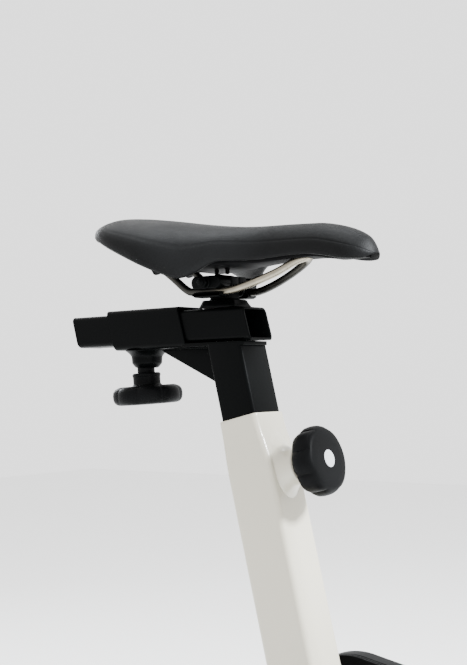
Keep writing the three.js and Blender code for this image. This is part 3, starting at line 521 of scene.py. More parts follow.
def sweep_rings(path, radius, count=20):
    """Rings along a path; `radius` is a number or one per point. The ring's frame turns as little as it can."""
    path = np.array(path, float)
    tangent = np.gradient(path, axis=0)
    tangent /= np.linalg.norm(tangent, axis=1, keepdims=True)
    radii = np.broadcast_to(radius, len(path))
    side = np.cross(tangent[0], (0.0, 0.0, 1.0))
    if np.linalg.norm(side) < 0.1:
        side = np.cross(tangent[0], (0.0, 1.0, 0.0))
    rings = []
    a = np.linspace(0, 2 * math.pi, count, endpoint=False)[:, None]
    for point, along, r in zip(path, tangent, radii):
        side = side - along * np.dot(side, along)
        side /= np.linalg.norm(side)
        rings.append(point + r * (np.cos(a) * side + np.sin(a) * np.cross(along, side)))
    return rings


# ------------------------------------------------------------------ pieces
class Piece:
    """A mesh under construction, kept as arrays until `finish` makes the object."""

    def __init__(self, at=WORLD):
        self.at = at
        self.points = []
        self.faces = []
        self.count = 0

    def _put(self, rings):
        """Stores the rings' points; gives their first index, the number of rings and the points per ring."""
        grid = np.array(rings, float)
        flat = grid.reshape(-1, 3) @ self.at[:3, :3].T + self.at[:3, 3]
        start = self.count
        self.points.append(flat)
        self.count += len(flat)
        return start, grid.shape[0], grid.shape[1]

    def skin(self, rings, cap_low=True, cap_high=True, loop=False):
        """Quads over rings that run counter-clockwise seen from the high end; caps close the ends."""
        start, rows, columns = self._put(rings)
        index = start + np.arange(rows * columns).reshape(rows, columns)
        if loop:
            index = np.vstack([index, index[:1]])
        right = np.roll(index, -1, axis=1)
        quads = np.stack([index[:-1], right[:-1], right[1:], index[1:]], axis=-1).reshape(-1, 4)
        self.faces.extend(map(tuple, quads.tolist()))
        if cap_low and not loop:
            self.faces.append(tuple(index[0, ::-1].tolist()))
        if cap_high and not loop:
            self.faces.append(tuple(index[-1].tolist()))
        return self

    def turned(self, profile, at=None, count=64, radius=0.8):
        """Turned piece about the local Z, or about the Z of `at`, from its low end to its high end."""
        rings = lathe_rings(rounded_profile(profile, radius), count)
        return self.placed(rings, at)

    def placed(self, rings, at=None, **options):
        """Skin over rings that were drawn in the local frame `at`."""
        if at is not None:
            rings = [ring @ at[:3, :3].T + at[:3, 3] for ring in rings]
        return self.skin(rings, **options)

    def prism(self, outline, low, high, edge=0.8, at=None):
        """Straight piece over an outline, its rims rounded by `edge`."""
        return self.placed(prism_rings(outline, low, high, edge), at)

    def weld(self, path, radius=1.7, pitch=2.4):
        """Weld bead: a rod along the path whose radius ripples, r = radius (1 + 0.13 cos(2 pi s / pitch))."""
        path = np.array(path, float)
        steps = np.concatenate([[0], np.cumsum(np.linalg.norm(np.diff(path, axis=0), axis=1))])
        s = np.arange(0, steps[-1], pitch / 6)
        fine = np.column_stack([np.interp(s, steps, path[:, k]) for k in range(3)])
        return self.skin(sweep_rings(fine, radius * (1 + 0.13 * np.cos(2 * math.pi * s / pitch)), 10))

    def finish(self, name, body, replaces, slot, look, sharp=38):
        """Makes the object, rides it on its body and hides the CAD node that it stands in for."""
        mesh = bpy.data.meshes.new(name)
        mesh.from_pydata((np.vstack(self.points) * MM).tolist(), [], self.faces)
        mesh.polygons.foreach_set("use_smooth", np.ones(len(mesh.polygons), bool))
        mesh.set_sharp_from_angle(angle=math.radians(sharp))
        mesh.materials.append(material(look))
        mesh.validate()
        piece = bpy.data.objects.new(name, mesh)
        bpy.context.collection.objects.link(piece)
        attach(piece, body)
        if replaces:
            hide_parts(replaces)
        return piece


def dress(node, look):
    """Gives a CAD node that stays in view a procedural material."""
    slots = frame["nodes"][node].material_slots
    if not slots:
        raise RuntimeError(f"{node} has no material slot")
    for slot in slots:
        slot.material = material(look)


# ------------------------------------------------------------------ saddle
SADDLE = {"nose": 129, "tail": -142, "half": 76, "nose_half": 22, "crown": 9, "ceiling": 139.0}
TAIL_ROUND, NOSE_ROUND = 0.055, 0.03  # shares of the saddle's length over which its ends close
RAIL = {"radius": 3.5, "half_gauge": 20, "height": 112}


def ease(x):
    """Smooth step from 0 to 1: 3 x^2 - 2 x^3."""
    x = np.clip(x, 0, 1)
    return x * x * (3 - 2 * x)


def saddle_x(t):
    """Distance along the saddle, tail at 0 and nose at 1."""
    return SADDLE["tail"] + (SADDLE["nose"] - SADDLE["tail"]) * t


def saddle_half(t):
    """Half width along the saddle, tail at 0 and nose at 1: wide wings that ease into a narrow nose."""
    body = SADDLE["nose_half"] + (SADDLE["half"] - SADDLE["nose_half"]) * (1 - ease((t - 0.24) / 0.42))
    tail = np.sqrt(1 - 0.66 * np.clip((0.2 - t) / 0.2, 0, 1) ** 2.6)
    nose = np.sqrt(1 - 0.985 * np.clip((t - 0.89) / 0.11, 0, 1) ** 2)
    return body * tail * nose


def saddle_top(t):
    """Ridge height: high tail, level middle, and a nose that rolls down like a quarter of an oval."""
    ridge = 168.4 + 18 * (1 - ease(t / 0.62)) - 3.5 * ease((t - 0.55) / 0.35)
    droop = 26 * (1 - np.sqrt(1 - np.clip((t - 0.8) / 0.2, 0, 1) ** 1.6))
    return ridge - droop - 6 * np.clip(1 - t / 0.06, 0, 1) ** 2


def saddle_low(t):
    """Height of the skirts' lower edge: it falls along the wings, turns at the clamp and rises to the nose."""
    wing = (np.hypot(0.375 - t, 0.02) + 0.375 - t) / 2
    return (120.8 + 128 * wing - 50 * np.clip(0.09 - t, 0, 1) + 15 * ease((t - 0.385) / 0.12)
            + 2 * ease((t - 0.55) / 0.2) - 6.3 * ease((t - 0.78) / 0.17))


def cover_rings(length_steps=170, top_steps=76):
    """Cover surface.

    Across: y = half sgn(c) |c|**0.92, z = low + (top - low - crown c^2) |sin a|**0.52, a from 0 to pi,
    c = cos a, less the rear groove depth exp(-(y/13)^2) and a seam groove where the shoulder meets the skirt.
    Towards either end each section closes on its own middle height as a quarter circle does.
    """
    t = 0.5 - 0.5 * np.cos(np.linspace(0, math.pi, length_steps))
    a = np.linspace(0, math.pi, top_steps)
    across = np.cos(a)
    depth = settings().groove_depth / MM
    seam = settings().seam_depth / MM
    rings = []
    for share in t:
        half = saddle_half(share)
        low = saddle_low(share) + 2.5
        high = saddle_top(share) - SADDLE["crown"] * across ** 2
        rise = np.sin(a).clip(0) ** 0.52
        y = half * np.sign(across) * np.abs(across) ** 0.92
        z = low + (high - low) * rise
        groove = depth * ease((share - 0.03) / 0.12) * (1 - ease((share - 0.45) / 0.35))
        z = z - groove * np.exp(-(y / 13) ** 2)
        y = y - np.sign(y) * seam * np.exp(-((rise - 0.60) / 0.016) ** 2)
        ceiling = max(SADDLE["ceiling"], low + 5.5)
        inner = [(-0.965, low - 2.2), (-0.93, low - 2.5), (-0.88, low - 1.6),
                 (-0.80, low + 0.35 * (ceiling - low)), (-0.66, ceiling)]
        under = inner + [(-s, h) for s, h in inner[::-1]]
        yz = np.vstack([np.column_stack([y, z]), [(s * half, h) for s, h in under]])
        end = max(0, 1 - share / TAIL_ROUND, 1 - (1 - share) / NOSE_ROUND)
        close = math.sqrt(max(0.0004, 1 - end ** 2))
        middle = low + 0.42 * (saddle_top(share) - low)
        yz[:, 1] = middle + (yz[:, 1] - middle) * close
        rings.append(np.column_stack([np.full(len(yz), saddle_x(share)), yz]))
    return rings


def rail_path():
    """Bent wire: from one tail socket along one side, round the nose and back along the other side."""
    g, h = RAIL["half_gauge"], RAIL["height"]
    side = [(-90, g + 4, 141), (-72, g + 2, 127), (-56, g, h + 2), (-46, g, h), (-24, g, h), (-6, g, h),
            (14, g - 3, h + 5), (36, 12, 125), (54, 8, 134)]
    mirrored = [(x, -y, z) for x, y, z in side[::-1]]
    return curve_through([*side, (61, 0, 137), *mirrored], 14)


def shell_rings():
    """Base plate under the cover: a rounded strip, two thirds as wide as the cover, that follows the skirt."""
    rings = []
    for share in 0.16 + 0.80 * (0.5 - 0.5 * np.cos(np.linspace(0, math.pi, 60))):
        section = round_rect(2 * (0.66 * saddle_half(share) - 1.5), 5.0, 1.8, 0, 4)
        height = max(135.8, saddle_low(share) + 0.8)
        x = np.full(len(section), saddle_x(share))
        rings.append(np.column_stack([x, section[:, 0], height + section[:, 1]]))
    return rings


def build_saddle():
    """Cover; base plate with its two rail sockets and two short posts; bent wire rails."""
    cover = Piece(LEVEL)
    cover.skin(cover_rings())
    pad = cover.finish("saddle_cover", "saddle", "saddle_pad", "leatherette", "leatherette", 60)

    base = Piece(LEVEL)
    base.skin(shell_rings())
    for _, side in SIDES:
        socket = basis((-88, side * 24, 138), (-0.55, 0, 0.84))
        base.turned([(0, -6), (6.5, -6), (7, 6), (0, 6)], socket, 32)
    for x in (-37.5, -25.5):
        base.turned([(0, 128.0), (1.8, 128.0), (2.2, 137), (0, 137)], basis((x, 0, 0), (0, 0, 1)), 24, 0.4)
    base.finish("saddle_shell", "saddle", "saddle_base", "black_plastic", "saddle_shell")

    rails = Piece(LEVEL)
    rails.skin(sweep_rings(rail_path(), RAIL["radius"], 18))
    rails.finish("saddle_rail_wire", "saddle", "saddle_rails", "bright_steel", "rail_metal")


# ------------------------------------------------------------------ saddle clamp
CLAMP = {"x": -29, "height": 119, "length": 32, "low": 106.0, "high": 125, "inner": 11.3, "outer": 29,
         "core": 8.5, "boss": 1.6}
MOUNT = {"rear": -48, "front": -9, "width": 34, "base": 97.2, "top": 104.5,
         "shoulder": (36, 29), "neck": (24, 20)}


def clamp_jaw(name, side):
    """An upper and a lower lip round the rail, a web between them and half of two end bridges."""
    jaw = Piece(LEVEL)
    lips = (
        (113.4, CLAMP["high"], CLAMP["inner"], CLAMP["outer"], CLAMP["length"], 5.4),
        (CLAMP["low"], 110.9, 14.9, CLAMP["outer"] - 1, CLAMP["length"] - 1.5, 3.0),
        (108, 124, CLAMP["inner"] + 0.1, 16.2, CLAMP["length"] - 6, 6))
    for low, high, start, end, length, corner in lips:
        at = basis((CLAMP["x"], 0, (low + high) / 2), (0, side, 0))
        jaw.prism(round_rect(length, high - low, corner, 0, 9), start, end, 1.3, at)
    for end in (-1, 1):
        bridge = round_rect(3.4, 11.6, 1.2, CLAMP["x"] + end * 14.6, 5) + (0, side * 5.8)
        jaw.prism(bridge, 114.5, CLAMP["high"] - 0.1, 0.6)
    hub = basis((CLAMP["x"], 0, CLAMP["height"]), (0, side, 0))
    face = CLAMP["outer"] + CLAMP["boss"]
    jaw.turned([(0, 24), (5.8, 24), (5.8, face - 0.8), (5, face), (0, face)], hub, 48)
    jaw.finish(f"clamp_jaw_{name}_fine", "saddle", f"clamp_jaw_{name}", "black_steel", "black_steel")


def build_clamp():
    """Two jaws, the cross bolt with a nut at each end, and the flared mount on the bar."""
    for name, side in SIDES:
        clamp_jaw(name, side)

    bolt = Piece(LEVEL)
    nut = CLAMP["outer"] + CLAMP["boss"]
    end = nut + 5
    for _, side in SIDES:
        hub = basis((CLAMP["x"], 0, CLAMP["height"]), (0, side, 0))
        bolt.prism(circle(5.4, 6), nut, nut + 4, 0.6, hub)
    bolt.turned([(0, -end - 0.5), (3, -end), (3, end), (0, end + 0.5)], hub, 32, 0.4)
    bolt.finish("clamp_cross_bolt", "saddle", "clamp_bolt", "bright_steel", "black_steel", 30)

    mount = Piece(LEVEL)
    middle = (MOUNT["rear"] + MOUNT["front"]) / 2
    foot = round_rect(MOUNT["front"] - MOUNT["rear"], MOUNT["width"], 6, middle, 8)
    shoulder = round_rect(*MOUNT["shoulder"], 6, CLAMP["x"], 8)
    neck = round_rect(*MOUNT["neck"], 6, CLAMP["x"], 8)
    base, top = MOUNT["base"], MOUNT["top"]
    mount.skin([
        lift(inset(foot, 0.6), base), lift(foot, base + 0.7), lift(foot, base + 1.6),
        lift(0.55 * foot + 0.45 * shoulder, base + 3.2), lift(shoulder, top - 1.6),
        lift(inset(shoulder, 0.5), top - 0.6), lift(inset(shoulder, 1.6), top - 0.1),
        lift(inset(neck, -1.2), top), lift(neck, top + 1.2), lift(neck, CLAMP["height"])])
    barrel = basis((CLAMP["x"], -11, CLAMP["height"]), (0, 1, 0))
    mount.turned([(0, 0), (CLAMP["core"], 0), (CLAMP["core"], 22), (0, 22)], barrel, 48)
    mount.finish("saddle_mount_fine", "saddle_slide", "saddle_mount", "black_steel", "black_steel")


# ------------------------------------------------------------------ fore-and-aft bar
BAR = {"rear": -199.6, "front": 7.2, "bottom": 67.4, "height": 29.6, "width": 36, "wall": 2.4, "corner": 4.2}
COLLAR = {"rear": -150.4, "front": -63.7, "bottom": 62.9, "top": 100.8, "width": 41, "wall": 1.7, "corner": 4.6}
PLATE = {"length": 70, "width": 40, "middle": -31.0, "bottom": 63.2, "top": 66.8}
REACH_SCREW = -122  # the clamp screw's place along the bar
REACH_KNOB = {"radius": 33, "height": 17.4, "lobe_depth": 1.6, "top": 28.2, "lean": (0.05, 0.03, -1)}
END_SLANT = 0.251  # radians from upright of the bar's and the collar's ends
NOSE_UP = 0.009  # radians by which the bar's open end is tipped up


def slanted_ring(x, bottom, top, width, corner, shrink=0.0):
    """Section of the bar at x, its plane tipped by the end slant so that the top lies further back."""
    section = round_rect(top - bottom - 2 * shrink, width - 2 * shrink, corner, 0, 6)
    middle = (top + bottom) / 2
    return np.column_stack([x - section[:, 0] * math.tan(END_SLANT), -section[:, 1], middle + section[:, 0]])


def slanted_tube(piece, rear, front, bottom, top, width, wall, corner, edge=0.6):
    """Rectangular tube with slanted, slightly rounded ends: out along the outside, back through the bore."""
    size = (bottom, top, width)
    inner = max(corner - wall, 0.8)
    outside = [slanted_ring(rear, *size, corner, edge), slanted_ring(rear + edge, *size, corner),
               slanted_ring(front - edge, *size, corner), slanted_ring(front, *size, corner, edge)]
    lip = wall - edge / 2
    bore = [slanted_ring(front, *size, inner, lip), slanted_ring(front - edge, *size, inner, wall),
            slanted_ring(rear + edge, *size, inner, wall), slanted_ring(rear, *size, inner, lip)]
    piece.skin(outside + bore, loop=True)


def knob_rings(radius, low, high, lobes, depth):
    """Lobed grip that swells to its middle and closes with a nearly flat round face.

    Each step is (share of the height, scale, how far the lobes have gone over into a circle).
    """
    outline = lobed(radius, lobes, depth)
    face = circle(radius * 0.95, len(outline))
    steps = ((0, 0.78, 0.4), (0.03, 0.84, 0.3), (0.12, 0.93, 0.1), (0.27, 0.985, 0), (0.45, 1.0, 0),
             (0.62, 1.0, 0.08), (0.76, 0.995, 0.3), (0.87, 0.975, 0.6), (0.94, 0.94, 0.85), (0.98, 0.895, 1),
             (1.0, 0.83, 1), (1.012, 0.6, 1), (1.02, 0.3, 1))
    return [lift((outline * (1 - share) + face * share) * scale, low + height * (high - low))
            for height, scale, share in steps]


def nose_up(pivot=(0, 0, 82)):
    """Level frame turned a little about the bar's open end, so that its capped end hangs lower."""
    turn, there, back = np.eye(4), np.eye(4), np.eye(4)
    c, s = math.cos(NOSE_UP), math.sin(NOSE_UP)
    turn[:3, :3] = [(c, 0, -s), (0, 1, 0), (s, 0, c)]
    there[:3, 3] = pivot
    back[:3, 3] = -np.array(pivot)
    return LEVEL @ there @ turn @ back


def bar_pieces():
    """The sliding bar and the plug in its rear end, which swells out from the tube and closes."""
    bottom, top = BAR["bottom"], BAR["bottom"] + BAR["height"]
    bar = Piece(nose_up())
    slanted_tube(bar, BAR["rear"] + 2.6, BAR["front"], bottom, top, BAR["width"], BAR["wall"], BAR["corner"])
    bar.finish("saddle_bar_fine", "saddle_slide", "saddle_bar", "black_steel", "black_steel")

    steps = ((-0.5, 7), (-0.3, 4), (0.1, 2.2), (0.7, 1.0), (1.5, 0.3), (2.3, 0), (2.9, 0.3), (3.4, 2.8),
             (12, 2.9))
    cap = Piece(nose_up())
    cap.skin([slanted_ring(BAR["rear"] + x, bottom - 0.2, top + 0.2, BAR["width"] + 0.4,
                           max(4.6 - shrink * 0.4, 2.0), shrink) for x, shrink in steps])
    cap.finish("bar_end_plug", "saddle_slide", "bar_end_cap", "black_plastic", "black_plastic")


def collar_pieces():
    """The collar round the bar, its floor plate and threaded boss, and the welded web down to the post."""
    collar = Piece(nose_up())
    slanted_tube(collar, COLLAR["rear"], COLLAR["front"], COLLAR["bottom"], COLLAR["top"], COLLAR["width"],
                 COLLAR["wall"], COLLAR["corner"])
    plate = round_rect(PLATE["length"], PLATE["width"], 3, PLATE["middle"], 5)
    collar.prism(plate, PLATE["bottom"], PLATE["top"], 0.6)
    boss = basis((REACH_SCREW, 0, 0), (0, 0, 1))
    profile = [(0, 46.2), (10.6, 46.2), (14.2, 50.4), (14.6, 57), (17, 60), (21, 63), (0, 63)]
    collar.turned(profile, boss, 56, 1.5)
    collar.finish("slide_collar_fine", "seat_carriage", "slide_collar", "black_steel", "black_steel")

    web = Piece(LEVEL)
    rear_face = POST_SECTION["shift"] - POST_SECTION["depth"] / 2
    low, high = [rear_face / math.cos(SEAT_LEAN) - math.tan(SEAT_LEAN) * z + 0.6 for z in (25, 63.6)]
    outline = np.array([(-103, 63), (-97, 58.5), (low - 3.5, 26.6), (low, 25.0), (high, 63.6)])
    web.prism(outline, -3.5, 3.5, 0.7, basis((0, 0, 0), (0, -1, 0)))
    for y in (-4.2, 4.2):
        web.weld([(low, y, 27), (high, y, 62.5)])
        web.weld([(high, y, 62.6), (-99, y, 62.4)])
    web.finish("gusset_web", "seat_carriage", "gusset", "black_steel", "black_steel")


def build_slide():
    """Bar, collar and the clamp knob that hangs under the collar, leaning slightly."""
    bar_pieces()
    collar_pieces()
    knob = Piece(basis(LEVEL[:3, 3] + np.array((REACH_SCREW, 0, REACH_KNOB["top"])), REACH_KNOB["lean"]))
    lobes = settings().knob_lobes
    knob.skin(knob_rings(REACH_KNOB["radius"], 0, REACH_KNOB["height"], lobes, REACH_KNOB["lobe_depth"]))
    sleeve = [(0, -12.2), (12.2, -12.2), (13.4, -11), (13.4, -9.4), (12.9, -8.6), (12.9, -1.5),
              (16.5, 1.5), (0, 1.5)]
    knob.turned(sleeve, None, 56, 1)
    knob.turned([(0, -19.5), (8.2, -19.5), (8.2, -11), (0, -11)], None, 40, 0.5)
    knob.finish("slide_knob_fine", "reach_clamp", "slide_knob", "black_plastic", "black_plastic")


# ------------------------------------------------------------------ posts, tubes and their knobs
LOCK_KNOB = {"radius": 30.2, "low": 46.6, "high": 68.6, "lobe_depth": 2.6}
BOSS = {"radius": 15.5, "end": 38.7, "root": -6.5, "flare_tall": 26, "flare_wide": 6.6}


def post_piece(at, low, high, hole_count, name, body, node, level_top=None):
    """Telescoping post: a rounded box tube with eyelets at its locking holes, whose openings are dark discs of
    painted shade; its top may be cut level.
    """
    post = Piece(at)
    corner = settings().post_corner / MM
    outline = round_rect(POST_SECTION["depth"], POST_SECTION["width"], corner, POST_SECTION["shift"], 7)
    rings = prism_rings(outline, low, high, 0.8)
    if level_top is not None:
        for ring in rings[len(rings) // 2:]:
            ring[:, 2] = level_top / math.cos(SEAT_LEAN) - ring[:, 0] * math.tan(SEAT_LEAN)
    post.skin(rings)
    # painted shade: the locking holes are not cut; a dark disc in each eyelet stands in for the shade inside
    # the hole
    holes = Piece(at)
    front = POST_SECTION["shift"] + POST_SECTION["depth"] / 2
    for index in range(hole_count):
        eyelet = basis((front, 0, -PIN_BELOW - HOLE_PITCH * index), (1, 0, 0), (0, 0, 1))
        post.turned([(3.6, -1.4), (4.3, 0.02), (5.4, 0.14), (5.9, -0.3)], eyelet, 40, 0.2)
        holes.turned([(0, -2.0), (4.2, -2.0), (4.2, 0.03), (0, 0.03)], eyelet, 32, 0.1)
    post.finish(name, body, node, "black_steel", "black_steel")
    # the discs take the saddle shell's near-black finish as painted shade
    holes.finish(name + "_holes", body, None, "black_steel", "saddle_shell")


def pin_boss_rings(front):
    """Round boss whose foot flares like (1 - share)^2.6 into the face it is welded to, and its flat end."""
    rings = []
    angle = np.linspace(0, 2 * math.pi, 72, endpoint=False)
    for share in np.linspace(0, 1, 20):
        flare = (1 - share) ** 2.6
        tall = BOSS["radius"] + BOSS["flare_tall"] * flare
        wide = BOSS["radius"] + BOSS["flare_wide"] * flare
        ring = np.column_stack([tall * np.cos(angle), wide * np.sin(angle)])
        rings.append(lift(ring, (front + BOSS["root"]) * (1 - share) + BOSS["end"] * share))
    end = rings[-1]
    for scale, height in ((0.955, 0.9), (0.88, 1.2), (0.42, 1.2)):
        rings.append(np.column_stack([end[:, :2] * scale, end[:, 2] + height]))
    return rings


def tube_piece(at, length, name, node):
    """Outer tube with a drawn-in mouth and a welded pin boss that flares into its front face."""
    tube = Piece(at)
    corner = settings().tube_corner / MM
    section, neck, post = TUBE_SECTION, NECK_SECTION, POST_SECTION
    drawn = neck["length"]
    rings = []
    heights = np.concatenate([[-length, -120, -drawn - 12], np.linspace(-drawn - 6, -3, 14)])
    for z in heights:
        share = ease((z + drawn) / (drawn - 4)) if z > -drawn else 0.0
        depth = section["depth"] + (neck["depth"] - section["depth"]) * share
        width = section["width"] + (neck["width"] - section["width"]) * share
        rings.append(lift(round_rect(depth, width, corner, neck["shift"] * share, 8), z))
    mouth = round_rect(neck["depth"], neck["width"], corner, neck["shift"], 8)
    bore = round_rect(post["depth"] + 0.9, post["width"] + 0.9, settings().post_corner / MM, post["shift"], 8)
    rings += [lift(mouth, -1.2), lift(inset(mouth, 0.35), -0.3), lift(inset(mouth, 0.9), 0.0),
              lift(bore, -0.1), lift(bore, -1.0), lift(bore, -60)]
    tube.skin(rings)
    boss = basis((0, 0, -PIN_BELOW), (1, 0, 0), (0, 0, 1))
    tube.placed(pin_boss_rings(section["depth"] / 2), boss)
    tube.finish(name, "frame", node, "frame_paint", "frame_paint")


def lock_knob(at, name, body, node):
    """Scalloped pull knob: lobed grip with a nearly flat face, a pale cap in its middle, a collar behind."""
    knob = Piece(at)
    axis = basis((0, 0, -PIN_BELOW), (1, 0, 0), (0, 0, 1))
    size = [LOCK_KNOB[key] for key in ("radius", "low", "high")]
    knob.placed(knob_rings(*size, settings().knob_lobes, LOCK_KNOB["lobe_depth"]), axis)
    knob.turned([(0, 41.2), (12, 41.2), (13, 42.4), (13, 46.0), (17, 48.6), (0, 48.6)], axis, 56, 1)
    knob.finish(name, body, node, "black_plastic", "black_plastic")
    mark = Piece(at)
    mark.turned([(0, 68.0), (7.6, 68.0), (7.6, 69.2), (6.2, 69.6), (0, 69.8)], axis, 72, 0.7)
    mark.finish(name + "_cap", body, None, "black_plastic", "pale_mark")


def build_posts():
    """Seat tube and head tube, each with its telescoping post, pull knob and pin."""
    length = np.linalg.norm(CRANK - SEAT_RIM)
    tube_piece(SEAT, length - 10, "seat_tube_fine", "seat_tube")
    post_piece(SEAT, -300, 70, 9, "seat_post_fine", "seat_carriage", "seat_post", level_top=65.0)
    lock_knob(SEAT, "height_knob_fine", "height_lock_knob", "height_knob")
    head_low = node_box("head_tube")[0][2]
    tube_piece(HEAD, (HEAD_RIM[2] - head_low) / HEAD_UP[2] - 2, "head_tube_fine", "head_tube")
    post_piece(HEAD, -150, 160, 4, "handlebar_post_fine", "handlebar_assembly", "handlebar_post")
    lock_knob(HEAD, "handlebar_knob_fine", "handlebar_lock_knob", "handlebar_knob")
    dress("height_pin", "bright_steel")
    dress("handlebar_pin", "bright_steel")


# ------------------------------------------------------------------ frame tubes
BEAM = {"width": 40, "height": 56, "rise": 0.8, "past_head": 18}
LEG = {"width": 40, "height": 50}
FORK = {"width": 20, "height": 46, "y": 33.5, "top": 640}
STABILISER = {"depth": 60, "height": 40, "corner": 12, "length": 480, "spacing": 950, "z": 46.0}
BRACKET = {"y": 165, "gap": 13.0, "ahead": 58, "axle_z": 33}
FOOT_Y = 210


def straight_tube(piece, start, end, width, height, corner):
    """Rounded box tube in the XZ plane from start to end."""
    start, end = np.array(start, float), np.array(end, float)
    along = end - start
    at = basis(start, along, (0, 1, 0))
    piece.placed(prism_rings(round_rect(width, height, corner, 0, 8), 0, np.linalg.norm(along), 1.0), at)


def painted(piece, node):
    """Finish a welded piece of the frame in the frame's paint."""
    piece.finish(node + "_fine", "frame", node, "frame_paint", "frame_paint")


def build_frame():
    """Beam, leg, crank shell, fork blades, and the stabilisers with what is fixed to them."""
    rear_x = np.mean([c[0] for c in node_box("rear_stabiliser")])
    front_x = rear_x + STABILISER["spacing"]
    bar_z = STABILISER["z"]
    rise = np.array((1, 0, BEAM["rise"])) / np.linalg.norm((1, 0, BEAM["rise"]))
    beam_end = CRANK + rise * ((HEAD_RIM[0] + BEAM["past_head"] - CRANK[0]) / rise[0])

    beam = Piece()
    straight_tube(beam, CRANK, beam_end, BEAM["width"], BEAM["height"], 7)
    painted(beam, "main_beam")
    leg = Piece()
    straight_tube(leg, CRANK, (rear_x + 6, 0, bar_z + 4), LEG["width"], LEG["height"], 7)
    painted(leg, "rear_leg")

    shell = Piece()
    across = basis((CRANK[0], 0, CRANK[2]), (0, 1, 0))
    shell.turned([(9, -34), (24, -34), (25, -33), (25, 33), (24, 34), (9, 34)], across, 72)
    for _, side in SIDES:
        ring = basis((CRANK[0], 0, CRANK[2]), (0, side, 0))
        shell.turned([(9, 33), (16, 33), (16, 36.5), (14, 38), (9, 38)], ring, 56)
    painted(shell, "crank_shell")

    top = HEAD_RIM - HEAD_UP * ((HEAD_RIM[2] - FORK["top"]) / HEAD_UP[2])
    for name, side in SIDES:
        blade = Piece()
        shift = np.array((0, side * FORK["y"], 0))
        for end in (top + shift, np.array((front_x, shift[1], bar_z))):
            straight_tube(blade, FLYWHEEL + shift, end, FORK["width"], FORK["height"], 5)
        boss = basis(FLYWHEEL, (0, side, 0))
        blade.turned([(8.5, 24.0), (30, 24.0), (30, 43.9), (8.5, 43.9)], boss, 72, 1.2)
        painted(blade, f"fork_{name}")

    length = STABILISER["length"]
    outline = round_rect(STABILISER["depth"], STABILISER["height"], STABILISER["corner"], 0, 10)
    for end, x in (("rear", rear_x), ("front", front_x)):
        bar = Piece()
        at = basis((x, -length / 2, bar_z), (0, 1, 0), (1, 0, 0))
        bar.placed(prism_rings(outline, 0, length, 0.6), at)
        if end == "front":
            for _, side in SIDES:
                wheel_bracket(bar, x, bar_z, side)
        painted(bar, f"{end}_stabiliser")
        for name, side in SIDES:
            end_cap(x, bar_z, end, name, side)
            screw_foot(end, name, x, side)
    for name, side in SIDES:
        transport_wheel(name)


def wheel_bracket(piece, x, z, side):
    """Two plates from the stabiliser's front to the wheel's stub axle."""
    axle_x, axle_z = x + BRACKET["ahead"], BRACKET["axle_z"]
    for edge in (-1, 1):
        flat = basis((0, side * BRACKET["y"] + edge * BRACKET["gap"], 0), (0, -1, 0))
        outline = band([(x + 27, z, 13), (axle_x, axle_z, 9)], 0, 72)
        piece.placed(prism_rings(outline, -1.5, 1.5, 0.5), flat)
    axle = basis((axle_x, side * BRACKET["y"] - 17.5, axle_z), (0, 1, 0))
    profile = [(0, 0), (5.5, 0), (6, 1), (6, 3), (4, 3), (4, 32), (6, 32), (6, 34), (5.5, 35), (0, 35)]
    piece.turned(profile, axle, 32, 0.4)


def pillow_rings(outline, depth, low, swell, count):
    """Quarter ellipse from a wall to a face: inset depth (1 - cos a), height low + swell sin a."""
    angles = np.linspace(0, 1, count) * math.pi / 2
    return [lift(inset(outline, 0.1 + depth * (1 - math.cos(a))), low + swell * math.sin(a)) for a in angles]


def end_cap(x, z, end, name, side):
    """Plastic cap: a lip round the tube's end, then a pillowed face."""
    cap = Piece(basis((x, side * STABILISER["length"] / 2, z), (0, side, 0), (1, 0, 0)))
    depth, height, corner = STABILISER["depth"], STABILISER["height"], STABILISER["corner"]
    outline = round_rect(depth + 0.6, height + 0.6, corner + 0.2, 0, 10)
    steps = ((0.7, 0.2), (0, 0.8), (0, 8), (0.5, 8.6), (0.5, 9.4), (0.1, 10))
    rings = [lift(inset(outline, shrink) if shrink else outline, level) for shrink, level in steps]
    cap.skin(rings + pillow_rings(outline, 5.5, 14, 10, 9))
    cap.finish(f"{end}_cap_{name}_fine", "frame", f"{end}_cap_{name}", "black_plastic", "black_plastic")


def screw_foot(end, name, x, side):
    """Levelling foot: ribbed rubber base, steel nut and a threaded stud."""
    foot = Piece(basis((x, side * FOOT_Y, 0), (0, 0, 1)))
    pad = [(0, 0), (19, 0), (21, 2), (21, 4.5), (19.6, 5.4), (20, 6.2), (17, 9), (13, 14), (0, 14)]
    foot.turned(pad, None, 64, 0.8)
    stud = [(0, 13)]
    for turn in range(11):
        stud += [(4.3, 13.6 + turn * 1.6), (5.0, 14.4 + turn * 1.6)]
    foot.turned([*stud, (4.4, 43), (0, 43.6)], None, 28, 0.2)
    foot.prism(circle(9.2, 6), 15.2, 20.8, 0.7)
    foot.finish(f"{end}_foot_{name}_fine", f"{end}_{name}_foot", f"{end}_foot_{name}", "rubber", "rubber", 30)


def transport_wheel(name):
    """Moulded wheel: soft tread with two grooves, dished sides, hub ring."""
    centre = joint_point(f"wheel_{name}_spin")
    wheel = Piece(basis(centre, (0, 1, 0)))
    half = [(4.5, 10), (8, 10), (8.6, 7.4), (18, 7.0), (19.5, 9.2), (22.5, 10), (25, 8), (25, 3.4),
            (24.2, 2.8), (24.2, 2.0), (25, 1.4)]
    profile = [(r, -h) for r, h in half] + half[::-1]
    wheel.skin(lathe_rings(rounded_profile(profile, 0.5), 72), loop=True)
    node = f"transport_wheel_{name}"
    wheel.finish(node + "_fine", f"{name}_transport_wheel", node, "rubber", "rubber")


# ------------------------------------------------------------------ drive
GUARD = {"inner": 45.5, "screws": 5, "screw_ring": 92}
CRANK_ARM = {"length": 170, "eye": 14, "boss": 19, "low": 79, "high": 93}
PEDAL = {"inner": 102, "length": 88, "middle": 42}


